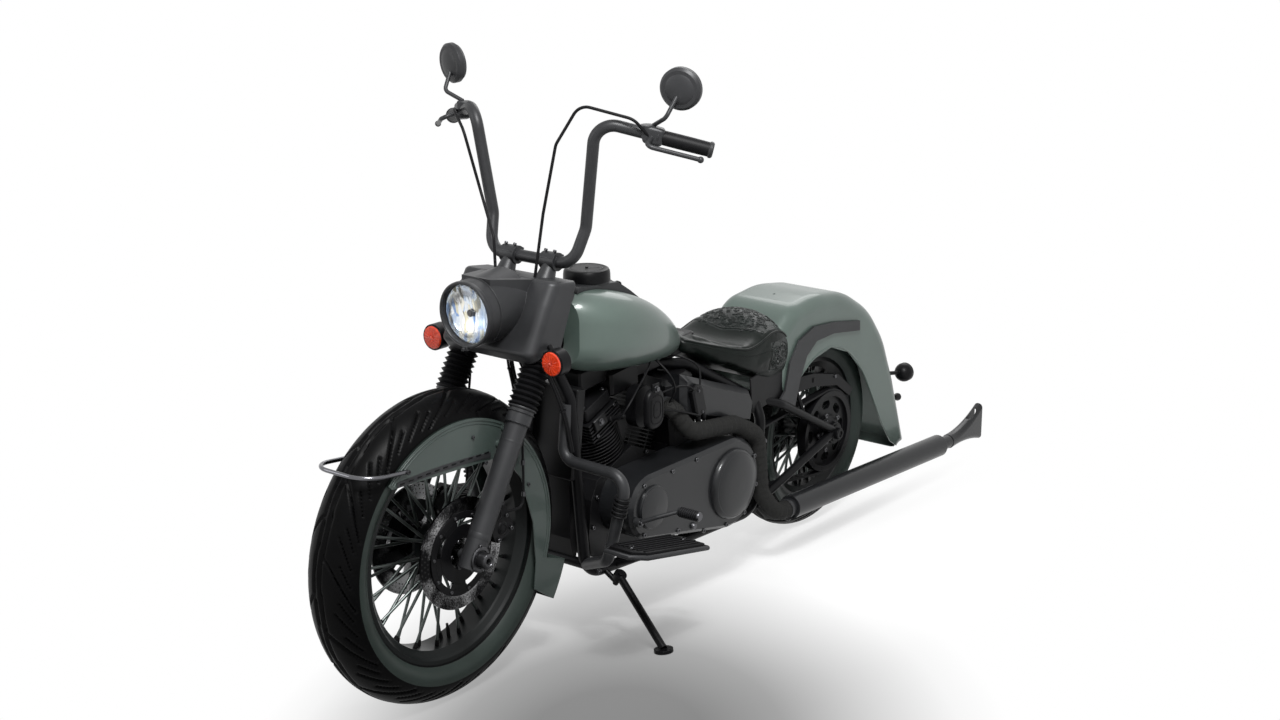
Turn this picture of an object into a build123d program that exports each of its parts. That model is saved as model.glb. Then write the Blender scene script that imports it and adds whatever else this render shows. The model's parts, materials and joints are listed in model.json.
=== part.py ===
from build123d import *
import math
import os
from collections import namedtuple

os.makedirs("parts", exist_ok=True)

# Long low motorcycle with a tall front wheel, parked on its side stand.
# Lengths are millimetres, angles degrees. +X is forward, +Y the bike's left,
# +Z up. The bike is drawn upright, then leaned to its left onto the stand.

# Wheels and steering
WHEELBASE = 1635.0
FRONT_RADIUS = 408.0
REAR_RADIUS = 320.0
CROWN_RADIUS = 80.0
RAKE = 30.0
STEM_OFFSET = -60.0
LEAN = 7.0

FRONT_AXLE = Vector(WHEELBASE / 2, 0, FRONT_RADIUS)
REAR_AXLE = Vector(-WHEELBASE / 2, 0, REAR_RADIUS)
SIN_RAKE = math.sin(math.radians(RAKE))
COS_RAKE = math.cos(math.radians(RAKE))
FORK = Plane(
    origin=FRONT_AXLE,
    x_dir=Vector(COS_RAKE, 0, SIN_RAKE),
    z_dir=Vector(-SIN_RAKE, 0, COS_RAKE),
).location
LIFT = CROWN_RADIUS * (1 - math.cos(math.radians(LEAN)))
STANDING = Pos(0, 0, LIFT) * Rot(-LEAN, 0, 0)


def from_front(points):
    """Places measured from the front axle, as (x, z) or (x, y, z), set down in the bike."""
    rows = []
    for x, *across, z in points:
        rows.append((FRONT_AXLE.X + x, *across, FRONT_AXLE.Z + z))
    return rows


FIT = 0.3
RUNNING_FIT = 0.05
AXLE_RADIUS = 12.5
AXLE_BORE = 8.0
SHEET = 4.0

# Tyre sections: crown edge, bulge and bead as (cross position, radius)
Tyre = namedtuple("Tyre", "radius crown_y bulge_y bulge_r bead_y bead_r wall")
FRONT_TYRE = Tyre(FRONT_RADIUS, 75.6, 78.0, 336.0, 46.0, 288.0, 11.0)
REAR_TYRE = Tyre(REAR_RADIUS, 76.0, 79.5, 262.0, 50.0, 216.0, 12.0)

# Wheels: barrel, lip and hub sizes, spokes a side and their spread in degrees
Wheel = namedtuple("Wheel", "well_y skin flange_y flange_r hub_r hub_end spokes spread")
FRONT_WHEEL = Wheel(36.0, 8.0, 34.0, 52.0, 36.0, 60.0, 20, 15.0)
REAR_WHEEL = Wheel(38.0, 8.0, 40.0, 56.0, 40.0, 62.0, 20, 24.0)
SPOKE_RADIUS = 3.6
SPOKE_HUB_Y = 30.0
SPOKE_RIM_Y = 12.0
FLANGE_WIDTH = 8.0
LIP_RISE = 9.0
LIP_WIDTH = 3.6

# Brake discs on the front wheel, pulley and disc on the rear wheel
DISC_RADIUS = 146.0
DISC_INNER = 104.0
HUB_BORE_ROOM = 1.0
DISC_Y = 84.0
DISC_THICK = 5.0
CARRIER_RADIUS = 50.0
DISC_ARMS = 5
DISC_ARM_WIDTH = 24.0
PULLEY_RADIUS = 128.0
PULLEY_Y = 104.0
PULLEY_WIDTH = 30.0
PULLEY_RIM = 16.0
PULLEY_SLOTS = 8
PULLEY_SLOT_RADIUS = 84.0
PULLEY_SLOT_LENGTH = 42.0
PULLEY_SLOT_WIDTH = 26.0
REAR_DISC_RADIUS = 140.0
REAR_DISC_Y = -98.0

# Fork, along the leg from the axle: lower leg, boot, upper tube, clamps
LEG_Y = 125.0
LEG_RADIUS = 29.0
LEG_FOOT = -34.0
LEG_TOP = 392.0
LEG_STEP = 350.0
LEG_STEP_RADIUS = 33.0
TUBE_RADIUS = 20.5
TUBE_TOP = 712.0
BOOT_TOP = 536.0
BOOT_RADIUS = 41.0
BOOT_VALLEY = 32.0
BOOT_FOLDS = 10
CLAMP_LOW = 546.0
CLAMP_HIGH = 690.0
CLAMP_THICK = 22.0
CLAMP_FRONT = 24.0
CLAMP_SIDE = 150.0
CLAMP_REAR = -88.0
CLAMP_WAIST = 34.0
STEM_RADIUS = 14.0
HEAD_RADIUS = 30.0
AXLE_END = 158.0
AXLE_NUT_RADIUS = 20.0
AXLE_NUT_END = 178.5

# Brake calipers, straddling the discs behind the legs
CALIPER_ANGLE = 156.6
CALIPER_LENGTH = 100.0
CALIPER_INNER = 98.0
CALIPER_OUTER = 172.0
CALIPER_Y0 = 68.0
CALIPER_Y1 = 107.0
CALIPER_SLOT = 7.5
CALIPER_SLOT_TOP = 153.0
CALIPER_EDGE = 8.0

# Lamp housing over the fork tubes: side outline (x, z) and half widths
NACELLE_OUTLINE = from_front([
    (-374.5, 641), (-287.5, 653), (-255.5, 600), (-191.5, 480), (-213.5, 452), (-293.5, 438),
])
NACELLE_HALF = 158.0
NACELLE_EDGE = 14.0
NACELLE_CORNER = 28.0
PEAK_FRONT, PEAK_REAR = from_front([(-169.5, 667), (-297.5, 650.7)])
PEAK_DEPTH = 48.0
PEAK_HALF = 48.0
PEAK_REAR_HALF = 92.0
BUCKET_RADIUS = 84.0
BUCKET_FRONT = FRONT_AXLE + Vector(-127.5, 0, 578)
BUCKET_LENGTH = 150.0
BUCKET_BACK_RADIUS = 92.0
BUCKET_DROP = 4.0
LENS_RADIUS = 77.0
LENS_DEPTH = 26.0
LENS_RECESS = 13.0
LENS_BULGE = 7.0

# Turn signals at the front: place, body and lens
SIGNAL = FRONT_AXLE + Vector(-221.5, 204, 465)
SIGNAL_RADIUS = 35.0
SIGNAL_LENGTH = 46.0
SIGNAL_LENS_RADIUS = 31.0
SIGNAL_LENS_DEPTH = 10.0
SIGNAL_STALK = 8.0
SIGNAL_ROOT = FRONT_AXLE + Vector(-261.5, 163, 494)

# Handlebar path on the left, mirrored to the right
BAR_RADIUS = 15.5
BAR_BEND = 52.0
BAR_PATH = from_front([
    (-381.5, 0, 680), (-381.5, 140, 680), (-413.5, 158, 772),
    (-397.5, 204, 1054), (-555.5, 424, 986),
])
RISER_Y = 68.0
RISER_RADIUS = 19.0
RISER_CLAMP = 24.0
RISER_LIP = 5.0
RISER_REACH = 96.0
GRIP_RADIUS = 18.0
GRIP_SHARE = 0.37
SWITCH_SIZE = (52.0, 40.0, 46.0)
LEVER_RADIUS = 6.0
LEVER_REACH = 62.0
LEVER_BALL = 8.5

# Mirrors: glass centre, size and stalk
MIRROR = FRONT_AXLE + Vector(-511.5, 384, 1136)
MIRROR_RADIUS = 54.0
MIRROR_THICK = 13.0
MIRROR_STALK = 5.5
MIRROR_ELBOW = FRONT_AXLE + Vector(-465.5, 372, 1068)

# Control cables: paths of straight runs and bends
CABLE_RADIUS = 4.0
CABLE_BEND = 38.0
CABLE_ROOT = Vector(20, 0, 0)
LEFT_CABLE = from_front([
    (-429.5, 300, 1062), (-377.5, 170, 1092), (-341.5, 122, 992),
    (-333.5, 84, 812), (-314.5, 62, 604),
])
RIGHT_CABLE = from_front([
    (-417.5, -296, 1032), (-365.5, -214, 992), (-381.5, -172, 832),
    (-331.5, -84, 732), (-314.5, -62, 604),
])

# Front fender: skirts in the dish of the tyre, tail behind it, rail in front
SKIRT_Y = 84.0
SKIRT_THICK = 3.0
SKIRT_OUTER = 345.0
SKIRT_START = 45.0
SKIRT_END = 214.0
TAIL_START = 199.0
TAIL_RADIUS = 424.0
SKIRT_EDGE = [(214, 332), (202, 306), (180, 276), (150, 268), (128, 272)]
SKIRT_FRONT = (45, 330)
SKIRT_PADS = [290.0, 334.0]
SKIRT_PAD_RADIUS = 11.0
RAIL_RADIUS = 5.5
RAIL_BEND = 60.0
RAIL_PATH = from_front([
    (186.5, 92.8, 268), (326.5, 92.8, 282), (326.5, -92.8, 282),
    (186.5, -92.8, 268),
])

# Fuel tank sections: place, half width, bottom, top and corner radius
TankSection = namedtuple("TankSection", "x half bottom top corner")
TANK = [
    TankSection(352, 90, 782, 968, 60),
    TankSection(290, 132, 758, 978, 84),
    TankSection(190, 150, 742, 962, 90),
    TankSection(60, 138, 728, 914, 80),
    TankSection(-70, 92, 716, 836, 54),
    TankSection(-150, 42, 716, 774, 24),
]
TUNNEL_RADIUS = 36.0

# Dash on the tank
DASH_OUTLINE = [(322, 940), (322, 992), (150, 976), (96, 942), (24, 890), (24, 850), (200, 900)]
DASH_HALF = 58.0
DASH_EDGE = 14.0
DIAL_CENTRE = Vector(212, 0, 982)
DIAL_RADIUS = 62.0
DIAL_HEIGHT = 34.0

# Seat: side outline (x, z), half width and edge
SEAT_OUTLINE = [
    (-154, 722), (-154, 750), (-250, 716), (-350, 700), (-430, 730),
    (-500, 756), (-570, 726), (-606, 650), (-560, 560), (-480, 566), (-300, 640),
]
SEAT_HALF = 150.0
SEAT_NOSE_HALF = 62.0
SEAT_CHEEK = -544.0

# Rear fender: outer side outline as (x, z, bend radius), and wheel opening
FENDER_OUTLINE = [
    (-560, 60, 4), (-556, 440, 60), (-514, 520, 60), (-506, 690, 90), (-600, 762, 120),
    (-740, 776, 300), (-900, 752, 300), (-1040, 672, 300), (-1130, 560, 300),
    (-1200, 400, 300), (-1282, 170, 4), (-1236, 156, 4), (-1180, 60, 4),
]
FENDER_HALF = 134.0
FENDER_EDGE = 42.0
FENDER_MOUTH = [(-640, 300), (-640, 506), (-490, 506), (-490, 300)]
RACK_HOLE = Vector(-680, 0, 770)
RACK_HOLE_RADIUS = 4.2
ARCH_OUTLINE = [
    (-540, 300), (-556, 440), (-600, 520), (-700, 580), (-800, 598),
    (-900, 560), (-985, 480), (-1050, 380), (-1110, 280), (-1170, 200),
    (-1236, 158), (-1240, 60), (-560, 60),
]

# Struts on the fender sides
STRUT_OUTLINE = [
    (-505, 491.6), (-540, 520), (-562, 600), (-612, 662), (-690, 688), (-800, 680),
    (-948, 654), (-950, 622), (-800, 644), (-706, 640), (-652, 604), (-618, 536), (-590, 448.6),
]
STRUT_Y = 136.0
STRUT_THICK = 7.0

# Rear lamps
REAR_SIGNAL = Vector(-1293, 104, 400)
REAR_SIGNAL_RADIUS = 31.0
REAR_SIGNAL_STALK = 6.5
STALK_FOOT = Vector(-1185, 86, 416)

# Frame tubes: paths and radii
FrameTube = namedtuple("FrameTube", "radius bend points")
HEAD_LOW = 572.0
HEAD_HIGH = 686.0
SIDE_TUBES = [
    FrameTube(16, 70, [
        *from_front([(-389.5, 24, 460), (-449.5, 70, 292)]), (338, 92, 200), (-60, 96, 176),
        (-392, 140, 190), (-414, 140, 466), (-420, 112, 522),
    ]),
    FrameTube(16, 60, [(-60, 22, 694), (-150, 66, 682), (-420, 112, 522), (-560, 112, 502)]),
]
ARM_TUBES = [
    FrameTube(13, 40, [(-396, 140, 204), (-812, 140, 322)]),
    FrameTube(13, 40, [(-440, 112, 516), (-520, 140, 486), (-812, 140, 330)]),
]
ARM_CROSS = (-462, 140, 206)
BACKBONE = FrameTube(30, 120, [*from_front([(-375.5, 0, 492)]), (300, 0, 820), (-70, 0, 690)])
CROSS_TUBES = [(338, 92, 230), (-60, 96, 176), (-392, 140, 190), (-420, 112, 520)]
CROSS_RADIUS = 14.0
AXLE_PLATE_RADIUS = 34.0
AXLE_PLATE_Y = 134.0
AXLE_PLATE_THICK = 12.0

# Engine: crank place, cylinder angle and sizes along each cylinder
CRANK = Vector(125, 0, 350)
BANK = 22.5
CASE_OUTLINE = [
    (312, 300), (300, 400), (275, 450), (125, 512), (-25, 450), (-40, 400), (-40, 220),
    (60, 200), (250, 210), (302, 240),
]
CASE_HALF = 84.0
BARREL_FOOT = 150.0
BARREL_TOP = 250.0
BARREL_CORE = 54.0
BANK_GAP = 1.5
FIN_RADIUS = 84.0
FIN_THICK = 3.4
FIN_PITCH = 10.5
HEAD_TOP = 314.0
HEAD_SIZE = (132.0, 158.0)
HEAD_CORE = (100.0, 120.0)
ROCKER_TOP = 348.0
ROCKER_SIZE = (112.0, 140.0)
PUSHROD_RADIUS = 9.0
PUSHROD_Y = -98.0
PUSHROD_SPREAD = 18.0
CAM_RADIUS = 92.0
CAM_DEPTH = 44.0

# Primary cover on the left
PRIMARY_FRONT = (176, 372, 92)
PRIMARY_REAR = (-198, 336, 132)
PRIMARY_Y0 = CASE_HALF + FIT
PRIMARY_Y1 = 196.0
DERBY_CENTRE = (-198, 336)
DERBY_RADIUS = 100.0
DERBY_Y = 214.0
FRONT_BOSS_RADIUS = 58.0
COVER_EDGE = 10.0

# Gearbox behind the engine, with the belt sprocket on its left
GEARBOX = ((-245, -40), (-96, 80), (206, 470))
GEARBOX_EDGE = 18.0
SPROCKET = Vector(-190, 0, 330)
SPROCKET_RADIUS = 60.0

# Oil tank under the seat: side outline and half width
OIL_OUTLINE = [(-36, 686), (-36, 560), (-372, 458), (-386, 530), (-366, 566)]
OIL_HALF = 142.0
OIL_EDGE = 16.0
OIL_NOTCH = (-74, 86)

# Exhaust pipes: left over the primary cover, right under the engine
HEADER_BEND = 60.0
LEFT_HEADER_RADIUS = 24.0
LEFT_HEADER = [
    (0, 79.3, 598), (0, 130, 598), (-40, 160, 522), (-240, 168, 499),
    (-352, 172, 440), (-362, 180, 260), (-400, 208, 189.1), (-480, 208, 186),
]
RIGHT_HEADER_RADIUS = 22.0
RIGHT_HEADER = [
    (279, -79.3, 591), (279, -180, 591), (296, -190, 460), (296, -192, 310),
    (276, -208, 178), (-400, -208, 189.1), (-480, -208, 186),
]
MUFFLER_Y = 208.0
MUFFLER_START = (-480, 186)
MUFFLER_RADIUS = 36.0
NECK_LENGTH = 66.0
NECK_RADIUS = 22.0
FISH_START = (-1420, 149)
FISH_MID = (-1520, 158)
FISH_END = (-1620, 172)
FISH_HEIGHT = 62.0
FISH_MID_HEIGHT = 30.0
FISH_HALF = 16.0
FISH_WALL = 3.0

# Engine guard and footboards
GUARD_RADIUS = 16.0
GUARD_BEND = 42.0
GUARD_PATH = [(380, 66, 690), (396, 66, 540), (400, 288, 536), (404, 224, 293), (338, 96, 232)]
BOARD_OUTLINE = [(206, 296), (206, 404), (470, 404), (512, 376), (512, 300), (470, 284)]
BOARD_THICK = 12.0
BOARD_TILT = 11.0
BOARD_PIVOT = Vector(206, 0, 306)
BOARD_ARM = [(216, 92.9, 192.6), (216, 330, 304)]
BOARD_ARM_RADIUS = 10.0

# Foot controls
PEG_RADIUS = 13.0
PEG_LENGTH = 66.0
SHIFT_PEG = Vector(186, 296, 384)
SHIFT_PIVOT = Vector(250, 208, 350)
SHIFT_ELBOW = Vector(224, 250, 368)
LEVER_PLATE = 6.5
LEVER_BOSS = 13.0
BRAKE_PAD = Vector(290, -326, 392)
BRAKE_PAD_SIZE = (60.0, 44.0, 12.0)
BRAKE_ELBOW = Vector(262, -266, 330)
BRAKE_ROOT_Y = 262.0

# Belt, guards and left covers
BELT_WIDTH = 26.0
BELT_THICK = 7.0
BELT_ROOM = 5.0
BELT_GUARD_OUTLINE = [
    (-584, 508), (-612, 534), (-740, 524), (-880, 490), (-966, 424), (-948, 404),
    (-872, 456), (-740, 482), (-604, 484),
]
BELT_GUARD_Y = (90.0, 112.0)
GUARD_STAY = [(-650, 140, 417), (-650, 101, 505)]
GUARD_STAY_RADIUS = 6.0
HORN_CENTRE = Vector(125, 128, 632)
HORN_SIZE = (74.0, 116.0)
HORN_DEPTH = 36.0
HORN_STAY = Vector(96, 0, 610)
HORN_STAY_RADIUS = 10.0
AIR_CENTRE = Vector(104, -188, 560)
AIR_RADIUS = 92.0
AIR_DEPTH = 62.0
AIR_STAY_RADIUS = 8.0
AIR_STAY_ACROSS = 57.0
AIR_STAY_ALONG = 257.0
BOX_OUTLINE = [(344, 244.3), (358, 300), (358, 520), (334, 540), (322, 430), (332, 244.3)]
BOX_HALF = 56.0

# Side stand: pivot and foot in the upright frame
STAND_PIVOT = Vector(262, 150, 186)
STAND_FOOT_Y = 360.0
STAND_FOOT_X = 330.0
STAND_RADIUS = 11.0
STAND_PAD_RADIUS = 26.0
STAND_PAD_THICK = 9.0
STAND_FOLDED = Vector(-1.0, 0.1, 0.05)
STAND_PIN_RADIUS = 8.0
STAND_EYE_RADIUS = 18.0
STAND_EYE_HALF = 9.0
STAND_PIN_LOW = -32.0
STAND_PIN_HIGH = 15.0
STAND_ROOT = Vector(264, 98, 194)

# Shared smooth shapes

FOOT = (Align.CENTER, Align.CENTER, Align.MIN)
OVERRUN = 1000.0


def pipe(points, radius, bend):
    """Round tube along straight runs joined by arcs."""
    path = FilletPolyline(*points, radius=bend) if len(points) > 2 else Line(*points)
    return sweep(Plane(origin=path @ 0, z_dir=path % 0) * Circle(radius), path=path)


def rod(start, end, radius):
    """Straight round bar between two points."""
    run = Vector(*end) - Vector(*start)
    return extrude(Plane(origin=Vector(*start), z_dir=run) * Circle(radius), amount=run.length)


def post(radius, low, high):
    """Upright round bar between two levels."""
    return Pos(0, 0, low) * Cylinder(radius, high - low, align=FOOT)


def side_face(outline, y, rounding=0.0):
    """Flat face of a side outline (x, z) at one cross position."""
    face = Polygon(*outline, align=None)
    if rounding:
        face = fillet(face.vertices(), rounding)
    return Plane.XZ.offset(-y) * face


def side_block(outline, y0, y1, rounding=0.0):
    """Block with a side outline (x, z) from one cross position to another."""
    return extrude(side_face(outline, y1, rounding), amount=y1 - y0, dir=(0, -1, 0))


def turned(profile, centre):
    """Ring or wheel part turned about a cross axis from (y, radius) points."""
    return Pos(*centre) * revolve(Plane.YZ * Polygon(*profile, align=None), axis=Axis.Y)


def mirrored(shape):
    """The same shape on the bike's other side."""
    return mirror(shape, about=Plane.XZ)


def fused(shapes):
    """One solid from touching shapes."""
    first, *others = shapes
    return first.fuse(*others) if others else first


def both_sides(shape):
    """A left piece and its right twin as one list of solids."""
    return Compound(children=[Part(shape.wrapped), Part(mirrored(shape).wrapped)])


def disc_at(centre, radius, y0, y1):
    """Round disc with a cross axis between two cross positions."""
    return Pos(centre.X, 0, centre.Z) * extrude(Plane.XZ.offset(-y1) * Circle(radius), amount=y1 - y0)


# Tyres, rims, spokes and hubs


def make_tyre(tyre, centre):
    """Hollow tyre with an arc crown."""
    crown_r = tyre.radius - CROWN_RADIUS + math.sqrt(CROWN_RADIUS**2 - tyre.crown_y**2)
    wall = tyre.wall
    outer = [
        Line((-tyre.bead_y, tyre.bead_r), (-tyre.bulge_y, tyre.bulge_r)),
        Line((-tyre.bulge_y, tyre.bulge_r), (-tyre.crown_y, crown_r)),
        ThreePointArc((-tyre.crown_y, crown_r), (0, tyre.radius), (tyre.crown_y, crown_r)),
        Line((tyre.crown_y, crown_r), (tyre.bulge_y, tyre.bulge_r)),
        Line((tyre.bulge_y, tyre.bulge_r), (tyre.bead_y, tyre.bead_r)),
    ]
    in_bead = tyre.bead_y - wall / 2
    in_bulge = tyre.bulge_y - wall
    inner = [
        Line((tyre.bead_y, tyre.bead_r), (in_bead, tyre.bead_r)),
        Line((in_bead, tyre.bead_r), (in_bulge, tyre.bulge_r)),
        ThreePointArc((in_bulge, tyre.bulge_r), (0, tyre.radius - wall), (-in_bulge, tyre.bulge_r)),
        Line((-in_bulge, tyre.bulge_r), (-in_bead, tyre.bead_r)),
        Line((-in_bead, tyre.bead_r), (-tyre.bead_y, tyre.bead_r)),
    ]
    section = make_face([*outer, *inner])
    return Pos(*centre) * revolve(Plane.YZ * section, axis=Axis.Y)


def rim_profile(tyre, wheel):
    """Half of a rim section, outside then inside, as (y, radius) points."""
    seat = tyre.bead_r - FIT
    slope = (tyre.bulge_y - tyre.bead_y) / (tyre.bulge_r - tyre.bead_r)
    lip_in = tyre.bead_y + slope * LIP_RISE + 2 * FIT
    bead_in = tyre.bead_y - tyre.wall / 2
    skin = wheel.skin
    well = seat - 2 * skin
    half = [
        (wheel.well_y, well),
        (bead_in - 2 * FIT, seat),
        (tyre.bead_y + 2 * FIT, seat),
        (lip_in, seat + LIP_RISE),
        (lip_in + LIP_WIDTH, seat + LIP_RISE),
        (lip_in + LIP_WIDTH, seat - skin / 4),
        (tyre.bead_y + skin / 2, seat - skin),
        (wheel.well_y + skin / 2, well - skin / 2),
        (wheel.well_y, well - skin),
    ]
    return half + [(-y, r) for y, r in reversed(half)]


def make_wire_wheel(tyre, wheel, centre):
    """Rim, hub and crossed spokes as one piece."""
    bore = AXLE_RADIUS + RUNNING_FIT
    flange_in = wheel.flange_y - FLANGE_WIDTH
    half_hub = [
        (wheel.hub_end, bore),
        (wheel.hub_end, wheel.hub_r * 0.7),
        (wheel.flange_y, wheel.hub_r),
        (wheel.flange_y, wheel.flange_r),
        (flange_in, wheel.flange_r),
        (flange_in, wheel.hub_r),
    ]
    hub_points = half_hub + [(-y, r) for y, r in reversed(half_hub)]
    rim = turned(rim_profile(tyre, wheel), (0, 0, 0))
    hub = turned(hub_points, (0, 0, 0))
    well = tyre.bead_r - FIT - 2.4 * wheel.skin
    step = 360.0 / wheel.spokes
    shapes = [rim, hub]
    for side in (-1, 1):
        for index in range(wheel.spokes):
            lead = wheel.spread if index % 2 else -wheel.spread
            turn = index * step + (side * step / 4)
            at_hub = math.radians(turn + lead)
            at_rim = math.radians(turn)
            reach = wheel.flange_r - FLANGE_WIDTH
            start = (reach * math.cos(at_hub), side * SPOKE_HUB_Y, reach * math.sin(at_hub))
            end = (well * math.cos(at_rim), side * SPOKE_RIM_Y, well * math.sin(at_rim))
            shapes.append(rod(start, end, SPOKE_RADIUS))
    return Pos(*centre) * fused(shapes)


def make_front_discs():
    """Two slotted brake discs on carriers against the hub ends."""
    plate = disc_at(Vector(0, 0, 0), DISC_RADIUS, DISC_Y - DISC_THICK / 2, DISC_Y + DISC_THICK / 2)
    plate -= disc_at(Vector(0, 0, 0), DISC_INNER, DISC_Y - DISC_THICK, DISC_Y + DISC_THICK)
    boss = disc_at(Vector(0, 0, 0), CARRIER_RADIUS, FRONT_WHEEL.hub_end + FIT, DISC_Y + DISC_THICK / 2)
    arms = []
    for index in range(DISC_ARMS):
        reach = (Align.MIN, Align.CENTER, Align.CENTER)
        arm = Box(DISC_INNER + DISC_THICK, DISC_THICK, DISC_ARM_WIDTH, align=reach)
        arms.append(Rot(0, index * 360 / DISC_ARMS, 0) * Pos(0, DISC_Y, 0) * arm)
    disc = fused([plate, boss, *arms])
    disc -= disc_at(Vector(0, 0, 0), AXLE_RADIUS + HUB_BORE_ROOM, 0, DISC_Y + DISC_THICK)
    return both_sides(Pos(*FRONT_AXLE) * disc)


def make_rear_pulley():
    """Slotted belt pulley on the left of the rear hub."""
    centre = Vector(0, 0, 0)
    outer = disc_at(centre, PULLEY_RADIUS, PULLEY_Y - PULLEY_WIDTH / 2, PULLEY_Y + PULLEY_WIDTH / 2)
    outer -= disc_at(centre, PULLEY_RADIUS - PULLEY_RIM, PULLEY_Y - PULLEY_WIDTH, PULLEY_Y + PULLEY_WIDTH)
    web = disc_at(centre, PULLEY_RADIUS - PULLEY_RIM / 2, PULLEY_Y - DISC_THICK, PULLEY_Y + DISC_THICK)
    slot = SlotOverall(PULLEY_SLOT_LENGTH, PULLEY_SLOT_WIDTH, rotation=90)
    cutter = extrude(Plane.XZ.offset(-PULLEY_Y - PULLEY_WIDTH) * slot, amount=2 * PULLEY_WIDTH)
    for index in range(PULLEY_SLOTS):
        web -= Rot(0, index * 360 / PULLEY_SLOTS, 0) * Pos(PULLEY_SLOT_RADIUS, 0, 0) * cutter
    boss = disc_at(centre, CARRIER_RADIUS, REAR_WHEEL.hub_end + FIT, PULLEY_Y + PULLEY_WIDTH / 2)
    pulley = fused([outer, web, boss])
    pulley -= disc_at(centre, AXLE_RADIUS + HUB_BORE_ROOM, 0, PULLEY_Y + PULLEY_WIDTH)
    return Pos(*REAR_AXLE) * pulley


def make_rear_disc():
    """Rear brake disc on the right of the hub."""
    centre = Vector(0, 0, 0)
    plate = disc_at(centre, REAR_DISC_RADIUS, REAR_DISC_Y - DISC_THICK / 2, REAR_DISC_Y + DISC_THICK / 2)
    boss = disc_at(centre, CARRIER_RADIUS, REAR_DISC_Y - DISC_THICK / 2, -REAR_WHEEL.hub_end - FIT)
    disc = plate.fuse(boss)
    disc -= disc_at(centre, AXLE_RADIUS + HUB_BORE_ROOM, REAR_DISC_Y - DISC_THICK, 0)
    return Pos(*REAR_AXLE) * disc


# Fork and everything that steers with it


def make_fork():
    """Legs, tubes, clamps, stem and axle."""
    leg = [
        post(LEG_RADIUS, LEG_FOOT, LEG_TOP),
        post(LEG_STEP_RADIUS, LEG_STEP, LEG_TOP),
        post(TUBE_RADIUS, LEG_TOP, TUBE_TOP),
    ]
    legs = [Pos(0, side * LEG_Y, 0) * shape for side in (-1, 1) for shape in leg]
    plan = [
        (CLAMP_FRONT, -CLAMP_SIDE), (CLAMP_FRONT, CLAMP_SIDE), (-CLAMP_FRONT, CLAMP_SIDE),
        (CLAMP_REAR, CLAMP_WAIST), (CLAMP_REAR, -CLAMP_WAIST), (-CLAMP_FRONT, -CLAMP_SIDE),
    ]
    clamp = extrude(Polygon(*plan, align=None), amount=CLAMP_THICK)
    low = Pos(0, 0, CLAMP_LOW) * clamp
    high = Pos(0, 0, CLAMP_HIGH) * clamp
    stem = Pos(STEM_OFFSET, 0, 0) * post(STEM_RADIUS, CLAMP_LOW, CLAMP_HIGH + CLAMP_THICK)
    axle = Rot(90, 0, 0) * Cylinder(AXLE_RADIUS, 2 * AXLE_END)
    nuts = disc_at(Vector(0, 0, 0), AXLE_NUT_RADIUS, LEG_Y, AXLE_NUT_END)
    bore = Rot(90, 0, 0) * Cylinder(AXLE_BORE, 4 * AXLE_END)
    return FORK * (fused([*legs, low, high, stem, axle, nuts, mirrored(nuts)]) - bore)


def make_boots():
    """Ribbed rubber boots round the upper tubes."""
    low = LEG_TOP + FIT
    pitch = (BOOT_TOP - low) / BOOT_FOLDS
    inner = TUBE_RADIUS + FIT
    outline = [(inner, low)]
    for index in range(BOOT_FOLDS):
        outline.append((BOOT_VALLEY, low + index * pitch))
        outline.append((BOOT_RADIUS, low + (index + 0.5) * pitch))
    outline += [(BOOT_VALLEY, BOOT_TOP), (inner, BOOT_TOP)]
    boot = revolve(Plane.XZ * Polygon(*outline, align=None), axis=Axis.Z)
    return both_sides(FORK * (Pos(0, LEG_Y, 0) * boot))


def make_calipers():
    """Calipers open over the discs, each with a lug against its leg."""
    middle = (CALIPER_Y0 + CALIPER_Y1) / 2
    height = CALIPER_OUTER - CALIPER_INNER
    block = Box(height, CALIPER_Y1 - CALIPER_Y0, CALIPER_LENGTH)
    body = Pos((CALIPER_INNER + CALIPER_OUTER) / 2, middle, 0) * block
    body = chamfer(body.edges().filter_by(Axis.Y), CALIPER_EDGE)
    slot = Pos(CALIPER_SLOT_TOP - height, DISC_Y, 0) * Box(2 * height, 2 * CALIPER_SLOT, 2 * CALIPER_LENGTH)
    body -= slot
    body = Rot(0, -CALIPER_ANGLE, 0) * body
    return both_sides(Pos(*FRONT_AXLE) * body)


def lamp_plane():
    """Plane of the lamp bucket's front edge, facing back into the housing."""
    back = BUCKET_FRONT - Vector(BUCKET_LENGTH, 0, -BUCKET_DROP)
    return Plane(origin=BUCKET_FRONT, z_dir=back - BUCKET_FRONT)


def make_peak():
    """Flat peak over the lamp, narrowing to its front."""
    (front, front_z), (rear, rear_z) = PEAK_FRONT, PEAK_REAR
    plan = Polygon(
        (rear, -PEAK_REAR_HALF), (front, -PEAK_HALF), (front, PEAK_HALF), (rear, PEAK_REAR_HALF),
        align=None,
    )
    side = [(rear, rear_z - PEAK_DEPTH), (front, front_z - PEAK_DEPTH), (front, front_z), (rear, rear_z)]
    return extrude(plan, amount=2 * OVERRUN) & side_block(side, -PEAK_REAR_HALF, PEAK_REAR_HALF)


def make_shell():
    """Broad panel over the fork tubes, with rounded corners and edges."""
    body = side_block(NACELLE_OUTLINE, -NACELLE_HALF, NACELLE_HALF)
    front = NACELLE_OUTLINE[1][0]
    corners = [edge for edge in body.edges() if edge.center().X > front and is_along(edge, False)]
    body = fillet(corners, NACELLE_CORNER)
    rims = [edge for edge in body.edges() if edge.center().X >= front and is_along(edge, True)]
    return fillet(rims, NACELLE_EDGE)


def is_along(edge, across):
    """Whether an edge runs across the bike, or else along its sides."""
    return (abs(edge.tangent_at(0.5).Y) > COS_RAKE) == across


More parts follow.
